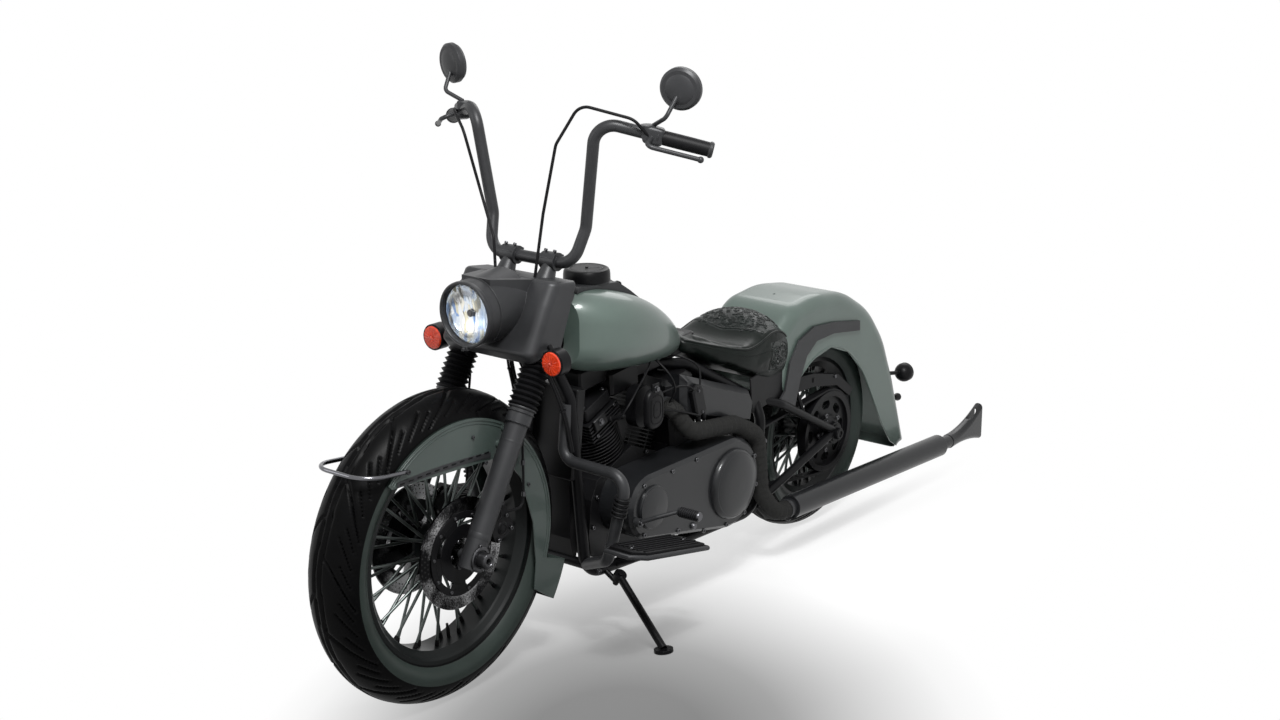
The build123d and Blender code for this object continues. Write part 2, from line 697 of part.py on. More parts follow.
def riser_ends(side):
    """Foot and head of a handlebar riser, along the fork's line."""
    head = Vector(BAR_PATH[0][0], side * RISER_Y, BAR_PATH[0][2])
    return head - Vector(-SIN_RAKE, 0, COS_RAKE) * RISER_REACH, head


def make_nacelle():
    """Shell over the fork tubes with the lamp bucket in front."""
    lamp = lamp_plane()
    far = lamp.offset(BUCKET_LENGTH)
    bucket = loft([lamp * Circle(BUCKET_RADIUS), far * Circle(BUCKET_BACK_RADIUS)])
    body = fused([make_shell(), bucket, make_peak()])
    back = 2 * (CLAMP_FRONT + FIT)
    room = Pos(CLAMP_FRONT + FIT - back, 0, LEG_TOP) * Box(
        2 * back, 2 * (CLAMP_SIDE + FIT), TUBE_TOP + FIT - LEG_TOP, align=FOOT
    )
    body -= FORK * room
    boot = FORK * Pos(0, LEG_Y, 0) * post(BOOT_RADIUS + SHEET, LEG_TOP, BOOT_TOP + SHEET)
    body = body - boot - mirrored(boot)
    for side in (-1, 1):
        body -= rod(*riser_ends(side), RISER_RADIUS + FIT)
    for cable in (LEFT_CABLE, RIGHT_CABLE):
        body -= pipe(cable, CABLE_RADIUS + FIT, CABLE_BEND)
    body -= extrude(lamp * Circle(LENS_RADIUS + FIT), amount=LENS_RECESS + LENS_DEPTH)
    return body


def make_head_lens():
    """Clear lens and reflector, set back in the bucket."""
    depth = LENS_DEPTH + LENS_BULGE - FIT
    lens = extrude(lamp_plane().offset(LENS_RECESS - LENS_BULGE) * Circle(LENS_RADIUS), amount=depth)
    return chamfer(lens.edges().group_by(Axis.X)[-1], LENS_BULGE * 0.9, LENS_RADIUS / 3)


def make_front_signals():
    """Round signal housings on stalks from the lamp housing's sides."""
    plane = Plane(origin=SIGNAL, z_dir=Vector(-1, 0, 0))
    shell = extrude(plane * Circle(SIGNAL_RADIUS), amount=SIGNAL_LENGTH)
    shell = chamfer(shell.edges().group_by(Axis.X)[0], SIGNAL_RADIUS / 3)
    shell -= extrude(plane * Circle(SIGNAL_LENS_RADIUS + FIT), amount=SIGNAL_LENS_DEPTH / 2)
    stalk = rod(SIGNAL_ROOT, SIGNAL - Vector(SIGNAL_LENGTH / 2, 0, 0), SIGNAL_STALK)
    return both_sides(shell.fuse(stalk))


def make_signal_lenses():
    """Domed orange lenses in the front signals."""
    plane = Plane(origin=SIGNAL - Vector(SIGNAL_LENS_DEPTH / 2 - FIT, 0, 0), z_dir=Vector(1, 0, 0))
    lens = extrude(plane * Circle(SIGNAL_LENS_RADIUS), amount=SIGNAL_LENS_DEPTH)
    lens = chamfer(lens.edges().group_by(Axis.X)[-1], SIGNAL_LENS_DEPTH / 3)
    return both_sides(lens)


def make_handlebar():
    """Tall bent bar with its two riser clamps."""
    base = Vector(*BAR_PATH[0])
    half = Vector(0, RISER_Y, 0)
    left = pipe([base + half, *BAR_PATH[1:]], BAR_RADIUS, BAR_BEND)
    parts = [rod(base - half, base + half, BAR_RADIUS), left, mirrored(left)]
    for side in (-1, 1):
        y = side * RISER_Y
        across = Vector(0, RISER_CLAMP, 0)
        centre = Vector(base.X, y, base.Z)
        parts.append(rod(centre - across, centre + across, RISER_RADIUS + RISER_LIP))
        plane = FORK.inverse() * Pos(*centre)
        low = FORK * Pos(plane.position.X, y, CLAMP_HIGH + CLAMP_THICK + FIT)
        parts.append(rod(low.position, centre, RISER_RADIUS))
    return fused(parts)


def grip_ends():
    """Inner and outer end of the left grip on the bar's last run."""
    inner = Vector(*BAR_PATH[-2])
    outer = Vector(*BAR_PATH[-1])
    return outer + (inner - outer) * GRIP_SHARE, outer


def make_grips():
    """Rubber grips round the bar ends."""
    inner, outer = grip_ends()
    run = (outer - inner).normalized()
    grip = rod(inner, outer + run * GRIP_RADIUS, GRIP_RADIUS)
    grip -= rod(inner - run, outer + run * FIT, BAR_RADIUS + FIT)
    return both_sides(grip)


def switch_centre():
    """Middle of the left switch housing on the bar."""
    inner, outer = grip_ends()
    return inner - (outer - inner).normalized() * (SWITCH_SIZE[0] / 2 + FIT)


def switch_box(grow):
    """Plain block of the left switch housing, grown by a clearance."""
    inner, outer = grip_ends()
    length, wide, high = (size + 2 * grow for size in SWITCH_SIZE)
    return Plane(origin=switch_centre(), z_dir=outer - inner).location * Box(wide, high, length)


def make_hand_controls():
    """Switch housings with bent levers."""
    inner, outer = grip_ends()
    run = (outer - inner).normalized()
    centre = switch_centre()
    housing = fillet(switch_box(0).edges(), SWITCH_SIZE[1] / 4)
    ahead = Vector(LEVER_REACH, LEVER_REACH / 3, -LEVER_REACH / 4)
    tip = outer + Vector(LEVER_REACH * 0.7, LEVER_REACH / 3, -LEVER_REACH / 3)
    lever = pipe([centre, centre + ahead, tip], LEVER_RADIUS, LEVER_REACH / 4)
    ball = Pos(*tip) * Sphere(LEVER_BALL)
    control = fused([housing, lever, ball])
    control -= rod(centre - run * SWITCH_SIZE[0], inner + run, BAR_RADIUS + FIT)
    return both_sides(control)


def make_mirrors():
    """Round mirrors on bent stalks from the switch housings."""
    foot = switch_centre() + Vector(0, 0, SWITCH_SIZE[1] / 2 + MIRROR_STALK)
    glass_plane = Plane(origin=MIRROR, z_dir=Vector(1, 0.3, -0.1))
    dish = extrude(glass_plane * Circle(MIRROR_RADIUS), amount=MIRROR_THICK, both=True)
    dish = chamfer(dish.edges().filter_by(GeomType.CIRCLE), MIRROR_THICK / 2)
    stalk = pipe([foot, MIRROR_ELBOW, MIRROR], MIRROR_STALK, MIRROR_STALK * 3)
    stalk -= switch_box(FIT)
    return both_sides(dish.fuse(stalk))


def make_cables():
    """Two control cables from the switch housings into the lamp housing."""
    start = switch_centre() + CABLE_ROOT
    left = pipe([start, *LEFT_CABLE], CABLE_RADIUS, CABLE_BEND) - switch_box(FIT)
    right = pipe([(start.X, -start.Y, start.Z), *RIGHT_CABLE], CABLE_RADIUS, CABLE_BEND)
    return Compound(children=[left, right - mirrored(switch_box(FIT))])


def polar(angle, radius):
    """Side-view point (x, z) about the front axle."""
    turn = math.radians(angle)
    return (FRONT_AXLE.X + radius * math.cos(turn), FRONT_AXLE.Z + radius * math.sin(turn))


def make_front_fender():
    """Side skirts beside the tyre, joined by the tail behind it."""
    start = polar(SKIRT_START, SKIRT_OUTER)
    top = polar((SKIRT_START + TAIL_START) / 2, SKIRT_OUTER)
    at_tail = polar(TAIL_START, SKIRT_OUTER)
    tail_top = polar(TAIL_START, TAIL_RADIUS)
    tail_mid = polar((TAIL_START + SKIRT_END) / 2, TAIL_RADIUS)
    tail_end = polar(SKIRT_END, TAIL_RADIUS)
    inner = [polar(*spot) for spot in SKIRT_EDGE]
    edges = [
        ThreePointArc(start, top, at_tail),
        Line(at_tail, tail_top),
        ThreePointArc(tail_top, tail_mid, tail_end),
        Polyline(tail_end, *inner, polar(*SKIRT_FRONT), start),
    ]
    face = make_face(Wire([edge for part in edges for edge in part.edges()]))
    skirt = extrude(Plane.XZ.offset(-SKIRT_Y - SKIRT_THICK) * face, amount=SKIRT_THICK)
    pads = []
    for height in SKIRT_PADS:
        spot = FORK * Pos(0, 0, height)
        centre = Vector(spot.position.X, 0, spot.position.Z)
        pads.append(disc_at(centre, SKIRT_PAD_RADIUS, SKIRT_Y, LEG_Y - LEG_RADIUS - FIT))
    tail_face = make_face(Wire([
        *ThreePointArc(tail_top, tail_mid, tail_end).edges(),
        *Line(tail_end, polar(SKIRT_END, TAIL_RADIUS - SHEET)).edges(),
        *ThreePointArc(
            polar(SKIRT_END, TAIL_RADIUS - SHEET),
            polar((TAIL_START + SKIRT_END) / 2, TAIL_RADIUS - SHEET),
            polar(TAIL_START, TAIL_RADIUS - SHEET),
        ).edges(),
        *Line(polar(TAIL_START, TAIL_RADIUS - SHEET), tail_top).edges(),
    ]))
    tail = extrude(Plane.XZ.offset(-SKIRT_Y) * tail_face, amount=2 * SKIRT_Y)
    return fused([skirt, mirrored(skirt), tail, *pads, *[mirrored(pad) for pad in pads]])


def make_rail():
    """Thin loop rail round the tyre's front, held on the skirts."""
    return pipe(RAIL_PATH, RAIL_RADIUS, RAIL_BEND)


# Body, frame and seat


def make_fuel_tank(grow=0.0):
    """Teardrop tank lofted through rounded sections, with a tunnel."""
    faces = []
    for section in TANK:
        height = section.top - section.bottom
        middle = (section.top + section.bottom) / 2
        plane = Plane(origin=(section.x, 0, middle), x_dir=(0, 1, 0), z_dir=(1, 0, 0))
        faces.append(plane * RectangleRounded(2 * (section.half + grow), height + 2 * grow, section.corner))
    tank = loft(faces)
    if grow:
        return tank
    return tank - pipe(BACKBONE.points, TUNNEL_RADIUS, BACKBONE.bend)


def make_dash():
    """Dash panel on the tank with a round instrument."""
    body = side_block(DASH_OUTLINE, -DASH_HALF, DASH_HALF)
    body = fillet(body.edges().filter_by(Axis.Y).group_by(Axis.Z)[-1], DASH_EDGE)
    dial = Pos(*DIAL_CENTRE) * post(DIAL_RADIUS, 0, DIAL_HEIGHT)
    dial = fillet(dial.edges().group_by(Axis.Z)[-1], DIAL_HEIGHT * 0.6)
    return body.fuse(dial) - make_fuel_tank(FIT)


def make_seat():
    """Low solo seat."""
    body = side_block(SEAT_OUTLINE, -SEAT_HALF, SEAT_HALF)
    nose = SEAT_OUTLINE[0][0]
    tail = SEAT_OUTLINE[7][0]
    edge = [
        (nose, SEAT_NOSE_HALF), (nose - 160, SEAT_HALF * 0.82), (nose - 290, SEAT_HALF),
        (SEAT_CHEEK, SEAT_HALF), (SEAT_CHEEK, FENDER_HALF), (tail, FENDER_HALF * 0.9),
    ]
    plan = edge + [(x, -y) for x, y in reversed(edge)]
    limit = extrude(Polygon(*plan, align=None), amount=OVERRUN, dir=(0, 0, 1))
    return (body & limit) - fender_solid(FIT)


def fender_solid(grow):
    """The rear fender's filled outer form, grown or shrunk."""
    half = FENDER_HALF + grow
    points = [(x, z) for x, z, _ in FENDER_OUTLINE]
    bends = [bend for _, _, bend in FENDER_OUTLINE]
    face = make_face(FilletPolyline(*points, radius=bends, close=True))
    if grow:
        face = offset(face, grow, kind=Kind.INTERSECTION)
    body = extrude(Plane.XZ.offset(-half) * face, amount=2 * half, dir=(0, -1, 0))
    edges = [edge for edge in body.faces().filter_by(Axis.Y).edges() if on_crown(edge)]
    return fillet(edges, FENDER_EDGE + grow)


def on_crown(edge):
    """Whether a fender edge lies along the crown, from the seat to the tail."""
    middle = edge.position_at(0.5)
    steep = abs(edge.tangent_at(0.5).X) < COS_RAKE
    tail_x, tail_z, _ = FENDER_OUTLINE[-3]
    behind = tail_x < middle.X < FENDER_OUTLINE[-4][0]
    return middle.Z > FENDER_OUTLINE[2][1] or (behind and steep and middle.Z > tail_z)


def crown_normal():
    """Upward normal of the fender crown at the rack hole."""
    ahead, behind = (Vector(x, 0, z) for x, z, _ in FENDER_OUTLINE[4:6])
    run = (ahead - behind).normalized()
    return Vector(-run.Z, 0, run.X)


def make_rear_fender():
    """Wide valanced fender, a shell open below."""
    shell = fender_solid(0) - fender_solid(-SHEET)
    shell -= side_block(ARCH_OUTLINE, -2 * FENDER_HALF, 2 * FENDER_HALF)
    shell -= side_block(FENDER_MOUTH, SHEET - FENDER_HALF, FENDER_HALF - SHEET)
    for tube in [SIDE_TUBES[1], *ARM_TUBES]:
        left = pipe(tube.points, tube.radius + FIT, tube.bend)
        shell = shell - left - mirrored(left)
    normal = crown_normal()
    return shell - rod(RACK_HOLE - normal * 4 * SHEET, RACK_HOLE + normal * 4 * SHEET, RACK_HOLE_RADIUS)


def make_fender_struts():
    """Flat struts that carry the rear fender."""
    strut = side_block(STRUT_OUTLINE, STRUT_Y, STRUT_Y + STRUT_THICK)
    tube = ARM_TUBES[1]
    return both_sides(strut - pipe(tube.points, tube.radius + FIT, tube.bend))


def make_rear_signals():
    """Two round signals on stalks from the fender's tail."""
    ball = Pos(*REAR_SIGNAL) * Sphere(REAR_SIGNAL_RADIUS)
    stalk = rod(STALK_FOOT, REAR_SIGNAL, REAR_SIGNAL_STALK)
    return both_sides(ball.fuse(stalk) - fender_solid(FIT))


def tube_pairs(tubes, grow=0.0):
    """Left and right runs of some frame tubes, grown by a clearance."""
    shapes = []
    for tube in tubes:
        left = pipe(tube.points, tube.radius + grow, tube.bend)
        shapes += [left, mirrored(left)]
    return shapes


def cross_tubes(grow=0.0):
    """Tubes from side to side between the frame's rails, grown by a clearance."""
    return [rod((x, -y - grow, z), (x, y + grow, z), CROSS_RADIUS + grow) for x, y, z in CROSS_TUBES]


def make_frame():
    """Main frame with head tube, backbone, down tubes and rails."""
    shapes = [*tube_pairs(SIDE_TUBES), *cross_tubes()]
    shapes.append(pipe(BACKBONE.points, BACKBONE.radius, BACKBONE.bend))
    head = FORK * Pos(STEM_OFFSET, 0, 0) * post(HEAD_RADIUS, HEAD_LOW, HEAD_HIGH)
    frame = fused([*shapes, head, make_stand_mount()])
    bore = FORK * Pos(STEM_OFFSET, 0, 0) * post(STEM_RADIUS + RUNNING_FIT, CLAMP_LOW, CLAMP_HIGH + CLAMP_THICK)
    return frame - bore


def make_swingarm():
    """Rear arms seated on the frame, with the hollow axle."""
    x, y, z = ARM_CROSS
    end = AXLE_PLATE_Y + 2 * AXLE_PLATE_THICK
    plate = disc_at(REAR_AXLE, AXLE_PLATE_RADIUS, AXLE_PLATE_Y, AXLE_PLATE_Y + AXLE_PLATE_THICK)
    axle = disc_at(REAR_AXLE, AXLE_RADIUS, -end, end)
    cross = rod((x, -y, z), (x, y, z), ARM_TUBES[0].radius)
    arm = fused([*tube_pairs(ARM_TUBES), plate, mirrored(plate), axle, cross])
    for tube in [*tube_pairs(SIDE_TUBES, FIT), *cross_tubes(FIT)]:
        arm -= tube
    return arm - disc_at(REAR_AXLE, AXLE_BORE, -2 * end, 2 * end)


# Engine, gearbox and exhaust


def make_engine_case():
    """Crankcase and gearbox, with cam cover and belt sprocket."""
    case = side_block(CASE_OUTLINE, -CASE_HALF, CASE_HALF)
    cam = disc_at(CRANK, CAM_RADIUS, -CASE_HALF - CAM_DEPTH, -CASE_HALF)
    (x0, x1), (y0, y1), (z0, z1) = GEARBOX
    gearbox = Pos(x0, y0, z0) * Box(x1 - x0, y1 - y0, z1 - z0, align=(Align.MIN, Align.MIN, Align.MIN))
    gearbox = fillet(gearbox.edges().filter_by(Axis.Y).group_by(Axis.X)[0], GEARBOX_EDGE)
    sprocket = disc_at(SPROCKET, SPROCKET_RADIUS, y1, PULLEY_Y + BELT_WIDTH / 2)
    return fused([case, cam, gearbox, sprocket])


def make_cylinder(angle):
    """Finned barrel, finned head and rocker cover along one bank."""
    stand = Pos(*CRANK) * Rot(0, angle, 0)
    profile = [(0, BARREL_FOOT + FIT)]
    level = BARREL_FOOT
    while level + FIN_PITCH < BARREL_TOP:
        profile.append((BARREL_CORE, max(level, BARREL_FOOT + FIT)))
        profile.append((BARREL_CORE, level + FIN_PITCH - FIN_THICK))
        profile += [(FIN_RADIUS, level + FIN_PITCH - FIN_THICK), (FIN_RADIUS, level + FIN_PITCH)]
        level += FIN_PITCH
    profile += [(BARREL_CORE, level), (BARREL_CORE, BARREL_TOP), (0, BARREL_TOP)]
    barrel = revolve(Plane.XZ * Polygon(*profile, align=None), axis=Axis.Z)
    shapes = [barrel, Pos(0, 0, BARREL_TOP) * Box(*HEAD_CORE, HEAD_TOP - BARREL_TOP, align=FOOT)]
    level = BARREL_TOP
    while level + FIN_THICK < HEAD_TOP:
        shapes.append(Pos(0, 0, level) * Box(*HEAD_SIZE, FIN_THICK, align=FOOT))
        level += FIN_PITCH
    rocker = Pos(0, 0, HEAD_TOP) * Box(*ROCKER_SIZE, ROCKER_TOP - HEAD_TOP, align=FOOT)
    rocker = fillet(rocker.edges().filter_by(Axis.Z), FIN_PITCH)
    shapes.append(rocker)
    reach = 4 * FIN_RADIUS
    side = 1 if angle > 0 else -1
    middle = Vector(CRANK.X + side * (BANK_GAP - reach), 0, CRANK.Z + reach)
    other_bank = Pos(*middle) * Box(2 * reach, 2 * reach, 2 * reach)
    return stand * fused(shapes) - other_bank


def make_pushrods():
    """Four pushrod tubes on the right of the cylinders."""
    rods = []
    for bank in (-BANK, BANK):
        for side in (-1, 1):
            stand = Pos(*CRANK) * Rot(0, bank, 0) * Pos(side * PUSHROD_SPREAD, PUSHROD_Y, 0)
            rods.append(stand * post(PUSHROD_RADIUS, CAM_RADIUS + FIT, HEAD_TOP))
    return Compound(children=rods)


def make_primary():
    """Long oval primary cover with a domed clutch lid."""
    front_x, front_z, front_r = PRIMARY_FRONT
    rear_x, rear_z, rear_r = PRIMARY_REAR
    ends = [Pos(front_x, front_z) * Circle(front_r), Pos(rear_x, rear_z) * Circle(rear_r)]
    plan = make_hull([edge for end in ends for edge in end.edges()])
    cover = extrude(Plane.XZ.offset(-PRIMARY_Y1) * plan, amount=PRIMARY_Y1 - PRIMARY_Y0)
    cover = chamfer(cover.faces().sort_by(Axis.Y)[-1].edges(), COVER_EDGE)
    lid_x, lid_z = DERBY_CENTRE
    lid = disc_at(Vector(lid_x, 0, lid_z), DERBY_RADIUS, PRIMARY_Y1, DERBY_Y)
    lid = fillet(lid.edges().group_by(Axis.Y)[-1], COVER_EDGE)
    boss = disc_at(Vector(front_x, 0, front_z), FRONT_BOSS_RADIUS, PRIMARY_Y1, PRIMARY_Y1 + COVER_EDGE)
    outer = PULLEY_Y + BELT_WIDTH / 2 + BELT_ROOM
    return fused([cover, lid, boss]) - belt_form(BELT_THICK + BELT_ROOM, PRIMARY_Y0 - BELT_ROOM, outer)


def belt_form(grow, y0, y1):
    """Filled side view of the belt run, grown outward, between two cross positions."""
    rings = []
    for centre, radius in ((SPROCKET, SPROCKET_RADIUS), (REAR_AXLE, PULLEY_RADIUS)):
        rings += (Pos(centre.X, centre.Z) * Circle(radius + grow)).edges()
    return extrude(Plane.XZ.offset(-y1) * make_hull(rings), amount=y1 - y0)


def make_belt():
    """Closed drive belt round sprocket and pulley."""
    y0 = PULLEY_Y - BELT_WIDTH / 2
    y1 = PULLEY_Y + BELT_WIDTH / 2
    return belt_form(FIT + BELT_THICK, y0, y1) - belt_form(FIT, y0 - BELT_ROOM, y1 + BELT_ROOM)


def make_oil_tank():
    """Oil tank under the seat, a saddle over the gearbox."""
    body = side_block(OIL_OUTLINE, -OIL_HALF, OIL_HALF)
    body = chamfer(body.faces().filter_by(Axis.Y).edges(), OIL_EDGE)
    notch_x, notch_y = OIL_NOTCH
    front_x, front_z = OIL_OUTLINE[0]
    notch = Pos(notch_x, 0, front_z) * Box(2 * (front_x - notch_x), 2 * notch_y, 2 * front_z)
    body -= Pos(front_x - notch_x, 0, 0) * notch
    for tube in SIDE_TUBES[:2]:
        left = pipe(tube.points, tube.radius + FIT, tube.bend)
        body = body - left - mirrored(left)
    return body


def make_headers():
    """Bent header pipes: the left over the primary cover, the right low."""
    left = pipe(LEFT_HEADER, LEFT_HEADER_RADIUS, HEADER_BEND)
    right = pipe(RIGHT_HEADER, RIGHT_HEADER_RADIUS, HEADER_BEND)
    return Compound(children=[left, right])


def make_muffler():
    """Straight muffler with a step, neck and upright fishtail."""
    start = Vector(MUFFLER_START[0], MUFFLER_Y, MUFFLER_START[1])
    end = Vector(FISH_START[0], MUFFLER_Y, FISH_START[1])
    run = end - start
    body = run.length - NECK_LENGTH
    profile = [
        (0, FIT), (MUFFLER_RADIUS, FIT), (MUFFLER_RADIUS, body),
        (NECK_RADIUS, body + MUFFLER_RADIUS - NECK_RADIUS), (NECK_RADIUS, run.length), (0, run.length),
    ]
    turned = revolve(Plane.XZ * Polygon(*profile, align=None), axis=Axis.Z)
    shell = Plane(origin=start, z_dir=run).location * turned
    stations = [
        (FISH_START, NECK_RADIUS + 1, NECK_RADIUS + 1),
        (FISH_MID, FISH_HALF + 4, FISH_MID_HEIGHT),
        (FISH_END, FISH_HALF, FISH_HEIGHT),
    ]
    outer = []
    inner = []
    for (x, z), half, height in stations:
        plane = Plane(origin=(x, MUFFLER_Y, z), x_dir=(0, 1, 0), z_dir=(-1, 0, 0))
        outer.append(plane * RectangleRounded(2 * half, 2 * height, half * 0.9))
        wall = half - FISH_WALL
        inner.append(plane * RectangleRounded(2 * wall, 2 * (height - FISH_WALL), wall * 0.9))
    tail = loft(outer) - loft(inner[1:])
    return shell.fuse(tail)


def make_guard():
    """Engine guard bar from side to side."""
    left = pipe(GUARD_PATH, GUARD_RADIUS, GUARD_BEND)
    for tube in (SIDE_TUBES[0], BACKBONE):
        left -= pipe(tube.points, tube.radius + FIT, tube.bend)
    return both_sides(left - cross_tubes(FIT))


def make_board():
    """Footboard on the arm that holds it to the frame rail."""
    lower = extrude(Polygon(*BOARD_OUTLINE, align=None), amount=BOARD_THICK, dir=(0, 0, 1))
    tilt = Pos(*BOARD_PIVOT) * Rot(0, -BOARD_TILT, 0) * Pos(-BOARD_PIVOT.X, 0, 0)
    board = tilt * lower
    rail = SIDE_TUBES[0]
    arm = rod(*BOARD_ARM, BOARD_ARM_RADIUS) - pipe(rail.points, rail.radius + FIT, rail.bend)
    return board.fuse(arm)


def make_shift_lever():
    """Shift lever with its rubber peg."""
    arm = pipe([SHIFT_PIVOT, SHIFT_ELBOW, SHIFT_PEG], LEVER_PLATE, PEG_RADIUS)
    boss = disc_at(SHIFT_PIVOT, LEVER_BOSS, PRIMARY_Y1 + FIT, SHIFT_PIVOT.Y + LEVER_PLATE)
    peg = rod(SHIFT_PEG, SHIFT_PEG + Vector(0, PEG_LENGTH, 0), PEG_RADIUS)
    return fused([arm, boss, peg])


def make_brake_pedal():
    """Rear brake pedal, hinged on the arm of the right footboard."""
    pad = Pos(*BRAKE_PAD) * Box(*BRAKE_PAD_SIZE)
    inner, outer = (Vector(*point) for point in BOARD_ARM)
    root = inner + (outer - inner) * ((BRAKE_ROOT_Y - inner.Y) / (outer.Y - inner.Y))
    arm = pipe([(root.X, -root.Y, root.Z), BRAKE_ELBOW, BRAKE_PAD], LEVER_PLATE, PEG_RADIUS)
    return pad.fuse(arm) - mirrored(rod(*BOARD_ARM, BOARD_ARM_RADIUS + FIT))


def make_belt_guard():
    """Upper belt guard on a stay from the swingarm."""
    guard = side_block(BELT_GUARD_OUTLINE, *BELT_GUARD_Y)
    tube = ARM_TUBES[1]
    stay = rod(*GUARD_STAY, GUARD_STAY_RADIUS)
    return guard.fuse(stay) - pipe(tube.points, tube.radius + FIT, tube.bend)


def make_horn_cover():
    """Oval cover between the cylinders on the left, on its stay."""
    oval = Pos(HORN_CENTRE.X, HORN_CENTRE.Z) * RectangleRounded(*HORN_SIZE, HORN_SIZE[0] / 2.2)
    cover = extrude(Plane.XZ.offset(-HORN_CENTRE.Y) * oval, amount=HORN_DEPTH)
    stay = disc_at(HORN_STAY, HORN_STAY_RADIUS, HEAD_SIZE[1] / 2 + FIT, HORN_CENTRE.Y - HORN_DEPTH)
    return cover.fuse(stay)


def make_air_cleaner():
    """Round air cleaner on the right, on a stay from each head."""
    body = disc_at(AIR_CENTRE, AIR_RADIUS, AIR_CENTRE.Y, AIR_CENTRE.Y + AIR_DEPTH)
    shapes = [chamfer(body.edges().group_by(Axis.Y)[0], COVER_EDGE)]
    for side in (-1, 1):
        spot = Pos(*CRANK) * Rot(0, side * BANK, 0) * Pos(-side * AIR_STAY_ACROSS, 0, AIR_STAY_ALONG)
        stay = disc_at(spot.position, AIR_STAY_RADIUS, AIR_CENTRE.Y + AIR_DEPTH, -HEAD_SIZE[1] / 2 - FIT)
        shapes.append(stay)
    return fused(shapes)


def make_front_box():
    """Electrics box between the down tubes."""
    return side_block(BOX_OUTLINE, -BOX_HALF, BOX_HALF)


def stand_frame():
    """Hinge point, hinge direction, foot point and fold angle of the stand."""
    parked = STANDING * Pos(STAND_FOOT_X, STAND_FOOT_Y, 0)
    floor = Pos(parked.position.X, parked.position.Y, 0)
    foot = STANDING.inverse() * floor
    down = foot.position - STAND_PIVOT
    axis = down.cross(STAND_FOLDED).normalized()
    return axis, foot, down.get_angle(STAND_FOLDED)


def along_hinge(start, end, radius):
    """Round bar on the stand's hinge line."""
    axis, _, _ = stand_frame()
    return rod(STAND_PIVOT + axis * start, STAND_PIVOT + axis * end, radius)


def make_side_stand():
    """Swinging leg with its pad flat on the floor."""
    _, foot, _ = stand_frame()
    pad = foot * Cylinder(STAND_PAD_RADIUS, STAND_PAD_THICK, align=(Align.CENTER, Align.CENTER, Align.MIN))
    ankle = foot * Pos(0, 0, STAND_PAD_THICK)
    leg = rod(STAND_PIVOT, ankle.position, STAND_RADIUS)
    eye = along_hinge(-STAND_EYE_HALF, STAND_EYE_HALF, STAND_EYE_RADIUS)
    hole = along_hinge(-2 * STAND_EYE_HALF, 2 * STAND_EYE_HALF, STAND_PIN_RADIUS + RUNNING_FIT)
    return fused([pad, leg, eye]) - hole


def make_stand_mount():
    """Pin and bracket on the frame rail that carry the stand."""
    axis, _, _ = stand_frame()
    pin = along_hinge(STAND_PIN_LOW, STAND_PIN_HIGH, STAND_PIN_RADIUS)
    low = STAND_PIVOT + axis * (STAND_PIN_LOW + STAND_PIN_RADIUS)
    return pin.fuse(rod(low, STAND_ROOT, STAND_PIN_RADIUS))


# Build and write every piece


def make_all():
    """Every piece of the upright bike by name."""
    return {
        "front_tyre": make_tyre(FRONT_TYRE, FRONT_AXLE),
        "rear_tyre": make_tyre(REAR_TYRE, REAR_AXLE),
        "front_wheel": make_wire_wheel(FRONT_TYRE, FRONT_WHEEL, FRONT_AXLE),
        "rear_wheel": make_wire_wheel(REAR_TYRE, REAR_WHEEL, REAR_AXLE),
        "front_discs": make_front_discs(),
        "rear_pulley": make_rear_pulley(),
        "rear_disc": make_rear_disc(),
        "fork": make_fork(),
        "fork_boots": make_boots(),
        "front_calipers": make_calipers(),
        "lamp_housing": make_nacelle(),
        "headlamp_lens": make_head_lens(),
        "front_signals": make_front_signals(),
        "signal_lenses": make_signal_lenses(),
        "handlebar": make_handlebar(),
        "grips": make_grips(),
        "hand_controls": make_hand_controls(),
        "mirrors": make_mirrors(),
        "control_cables": make_cables(),
        "front_fender": make_front_fender(),
        "fender_rail": make_rail(),
        "fuel_tank": make_fuel_tank(),
        "dash": make_dash(),
        "seat": make_seat(),
        "rear_fender": make_rear_fender(),
        "fender_struts": make_fender_struts(),
        "rear_signals": make_rear_signals(),
        "frame": make_frame(),
        "swingarm": make_swingarm(),
        "engine_case": make_engine_case(),
        "cylinders": Compound(children=[make_cylinder(BANK), make_cylinder(-BANK)]),
        "pushrods": make_pushrods(),
        "primary_cover": make_primary(),
        "oil_tank": make_oil_tank(),
        "headers": make_headers(),
        "mufflers": both_sides(make_muffler()),
        "engine_guard": make_guard(),
        "footboards": both_sides(make_board()),
        "foot_controls": Compound(children=[make_shift_lever(), make_brake_pedal()]),
        "drive_belt": make_belt(),
        "belt_guard": make_belt_guard(),
        "horn_cover": make_horn_cover(),
        "air_cleaner": make_air_cleaner(),
        "front_box": make_front_box(),
        "side_stand": make_side_stand(),
    }


def main():
    """Lean every piece onto the stand, centre the bike and write its files."""
    pieces = {}
    for name, shape in make_all().items():
        pieces[name] = [STANDING * solid for solid in shape.solids()]
    boxes = [solid.bounding_box() for group in pieces.values() for solid in group]
    low = Vector(min(box.min.X for box in boxes), min(box.min.Y for box in boxes), 0)
    high = Vector(max(box.max.X for box in boxes), max(box.max.Y for box in boxes), 0)
    centring = Pos(*((low + high) * -0.5))
    for name, solids in pieces.items():
        placed = [centring * solid for solid in solids]
        whole = Compound(children=placed) if len(placed) > 1 else placed[0]
        export_step(whole, f"parts/{name}.step")


main()
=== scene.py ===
import json
import math

import bpy
from mathutils import Matrix, Vector
from mathutils.bvhtree import BVHTree


